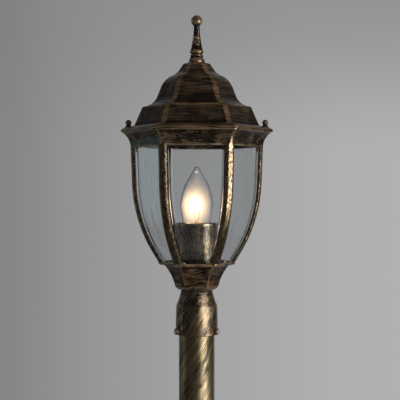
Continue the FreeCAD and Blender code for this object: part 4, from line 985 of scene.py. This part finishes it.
worldLook = {
    "middle": [(0.0, 0.238), (0.07, 0.26), (0.14, 0.283), (0.27, 0.318), (0.5, 0.37), (0.72, 0.413),
               (0.85, 0.435), (1.0, 0.44)],
    "top": [(0.0, 0.222), (0.1, 0.246), (0.27, 0.27), (0.72, 0.296), (1.0, 0.296)],
    "plain": 0.42, "front": 0.03, "sideways": (-0.2, 0.2), "topBand": (0.02, 0.2), "sideBand": (0.6, 1.0),
}


def makeWorld(look):
    # straight through, the backdrop is seen: darker to the left and at the top; mirrored, it stays dark
    # except far behind the lantern; scattered light comes evenly from all sides
    world = bpy.data.worlds.new("studio")
    bpy.context.scene.world = world
    world.use_nodes = True
    tree = world.node_tree
    tree.nodes.clear()
    way = node(tree, "ShaderNodeTexCoord").outputs["Generated"]
    parts = node(tree, "ShaderNodeSeparateXYZ", None, Vector=way).outputs
    sideways = spread(tree, parts["X"], *look["sideways"])

    def ramp(stops):
        made = node(tree, "ShaderNodeValToRGB", None, Fac=sideways)
        while len(made.color_ramp.elements) < len(stops):
            made.color_ramp.elements.new(0.5)
        for element, (at, value) in zip(made.color_ramp.elements, stops):
            element.position, element.color = at, (value, value, value, 1)
        return made.outputs["Color"]

    upwards = spread(tree, parts["Z"], *look["topBand"], True)
    seen = mixed(tree, upwards, ramp(look["middle"]), ramp(look["top"]))
    behind = spread(tree, parts["Y"], *look["sideBand"], True)
    shown = mixed(tree, behind, (look["front"],) * 3, seen)
    path = node(tree, "ShaderNodeLightPath").outputs
    colour = mixed(tree, maths(tree, "MINIMUM", path["Glossy Depth"], 1.0), seen, shown)
    colour = mixed(tree, maths(tree, "MINIMUM", path["Diffuse Depth"], 1.0), colour, (look["plain"],) * 3)
    back = node(tree, "ShaderNodeBackground", None, Color=colour, Strength=1.0)
    tree.links.new(back.outputs[0], tree.nodes.new("ShaderNodeOutputWorld").inputs["Surface"])
    world.cycles.sampling_method = "NONE"  # every look at it is traced, so the path's depths are known


makeWorld(worldLook)

lamps = {
    "keyStrip": {"azimuth": 51, "far": 1.5, "height": 0.98, "wide": 0.88, "tall": 1.4, "light": 4.2,
                 "colour": (1.0, 0.97, 0.93), "mirrored": False},
    "fillStrip": {"azimuth": -92, "far": 1.5, "height": 0.95, "wide": 0.4, "tall": 1.2, "light": 0.34,
                  "colour": (0.94, 0.97, 1.0), "mirrored": True},
    "rightStrip": {"azimuth": 92, "far": 1.6, "height": 0.98, "wide": 0.3, "tall": 1.3, "light": 0.25,
                   "colour": (1.0, 0.97, 0.93), "mirrored": True},
    "backStrip": {"azimuth": -122, "far": 1.8, "height": 0.98, "wide": 0.22, "tall": 1.2, "light": 0.3,
                  "colour": (0.6, 1.0, 1.0), "mirrored": True},
}


def facing(holder, settings):
    # azimuth is counted from the camera's side towards its right, and the holder looks at the lantern
    holder.location = polar(settings["far"], settings["azimuth"] - 90) + (settings["height"],)
    holder.rotation_euler = (math.radians(90), 0, math.radians(settings["azimuth"]))


def makeLamp(name, settings):
    # light is the brightness of the lamp's face; a lamp that isn't mirrored is never seen in glass or metal
    lamp = bpy.data.lights.new(name, "AREA")
    lamp.shape, lamp.size, lamp.size_y = "RECTANGLE", settings["wide"], settings["tall"]
    lamp.energy = settings["light"] * math.pi * settings["wide"] * settings["tall"]
    lamp.color = settings["colour"]
    lamp.cycles.use_multiple_importance_sampling = settings["mirrored"]
    holder = linked(name, lamp)
    facing(holder, settings)
    holder.visible_camera = False


for name, settings in lamps.items():
    makeLamp(name, settings)

warmSettings = {"energy": 0.01, "colour": (1.0, 0.62, 0.3), "radius": 0.006, "place": (0, 0, 0.977)}
warm = bpy.data.lights.new("bulbLight", "POINT")
warm.energy, warm.color = warmSettings["energy"], warmSettings["colour"]
warm.shadow_soft_size = warmSettings["radius"]
warmHolder = linked("bulbLight", warm)
warmHolder.location = warmSettings["place"]
warmHolder.visible_camera = warmHolder.visible_transmission = warmHolder.visible_glossy = False

cameraSettings = {"far": 1.017, "height": 0.997, "azimuth": 0.6, "lens": 85.96, "shift": (0.0081, -0.0318)}
camera = bpy.data.cameras.new("photoView")
camera.sensor_width, camera.lens = 36.0, cameraSettings["lens"]
camera.shift_x, camera.shift_y = cameraSettings["shift"]
cameraHolder = linked("photoView", camera)
facing(cameraHolder, cameraSettings)
bpy.context.scene.camera = cameraHolder
bpy.context.scene.view_settings.view_transform = "Standard"
print("stage, lamps and camera set")
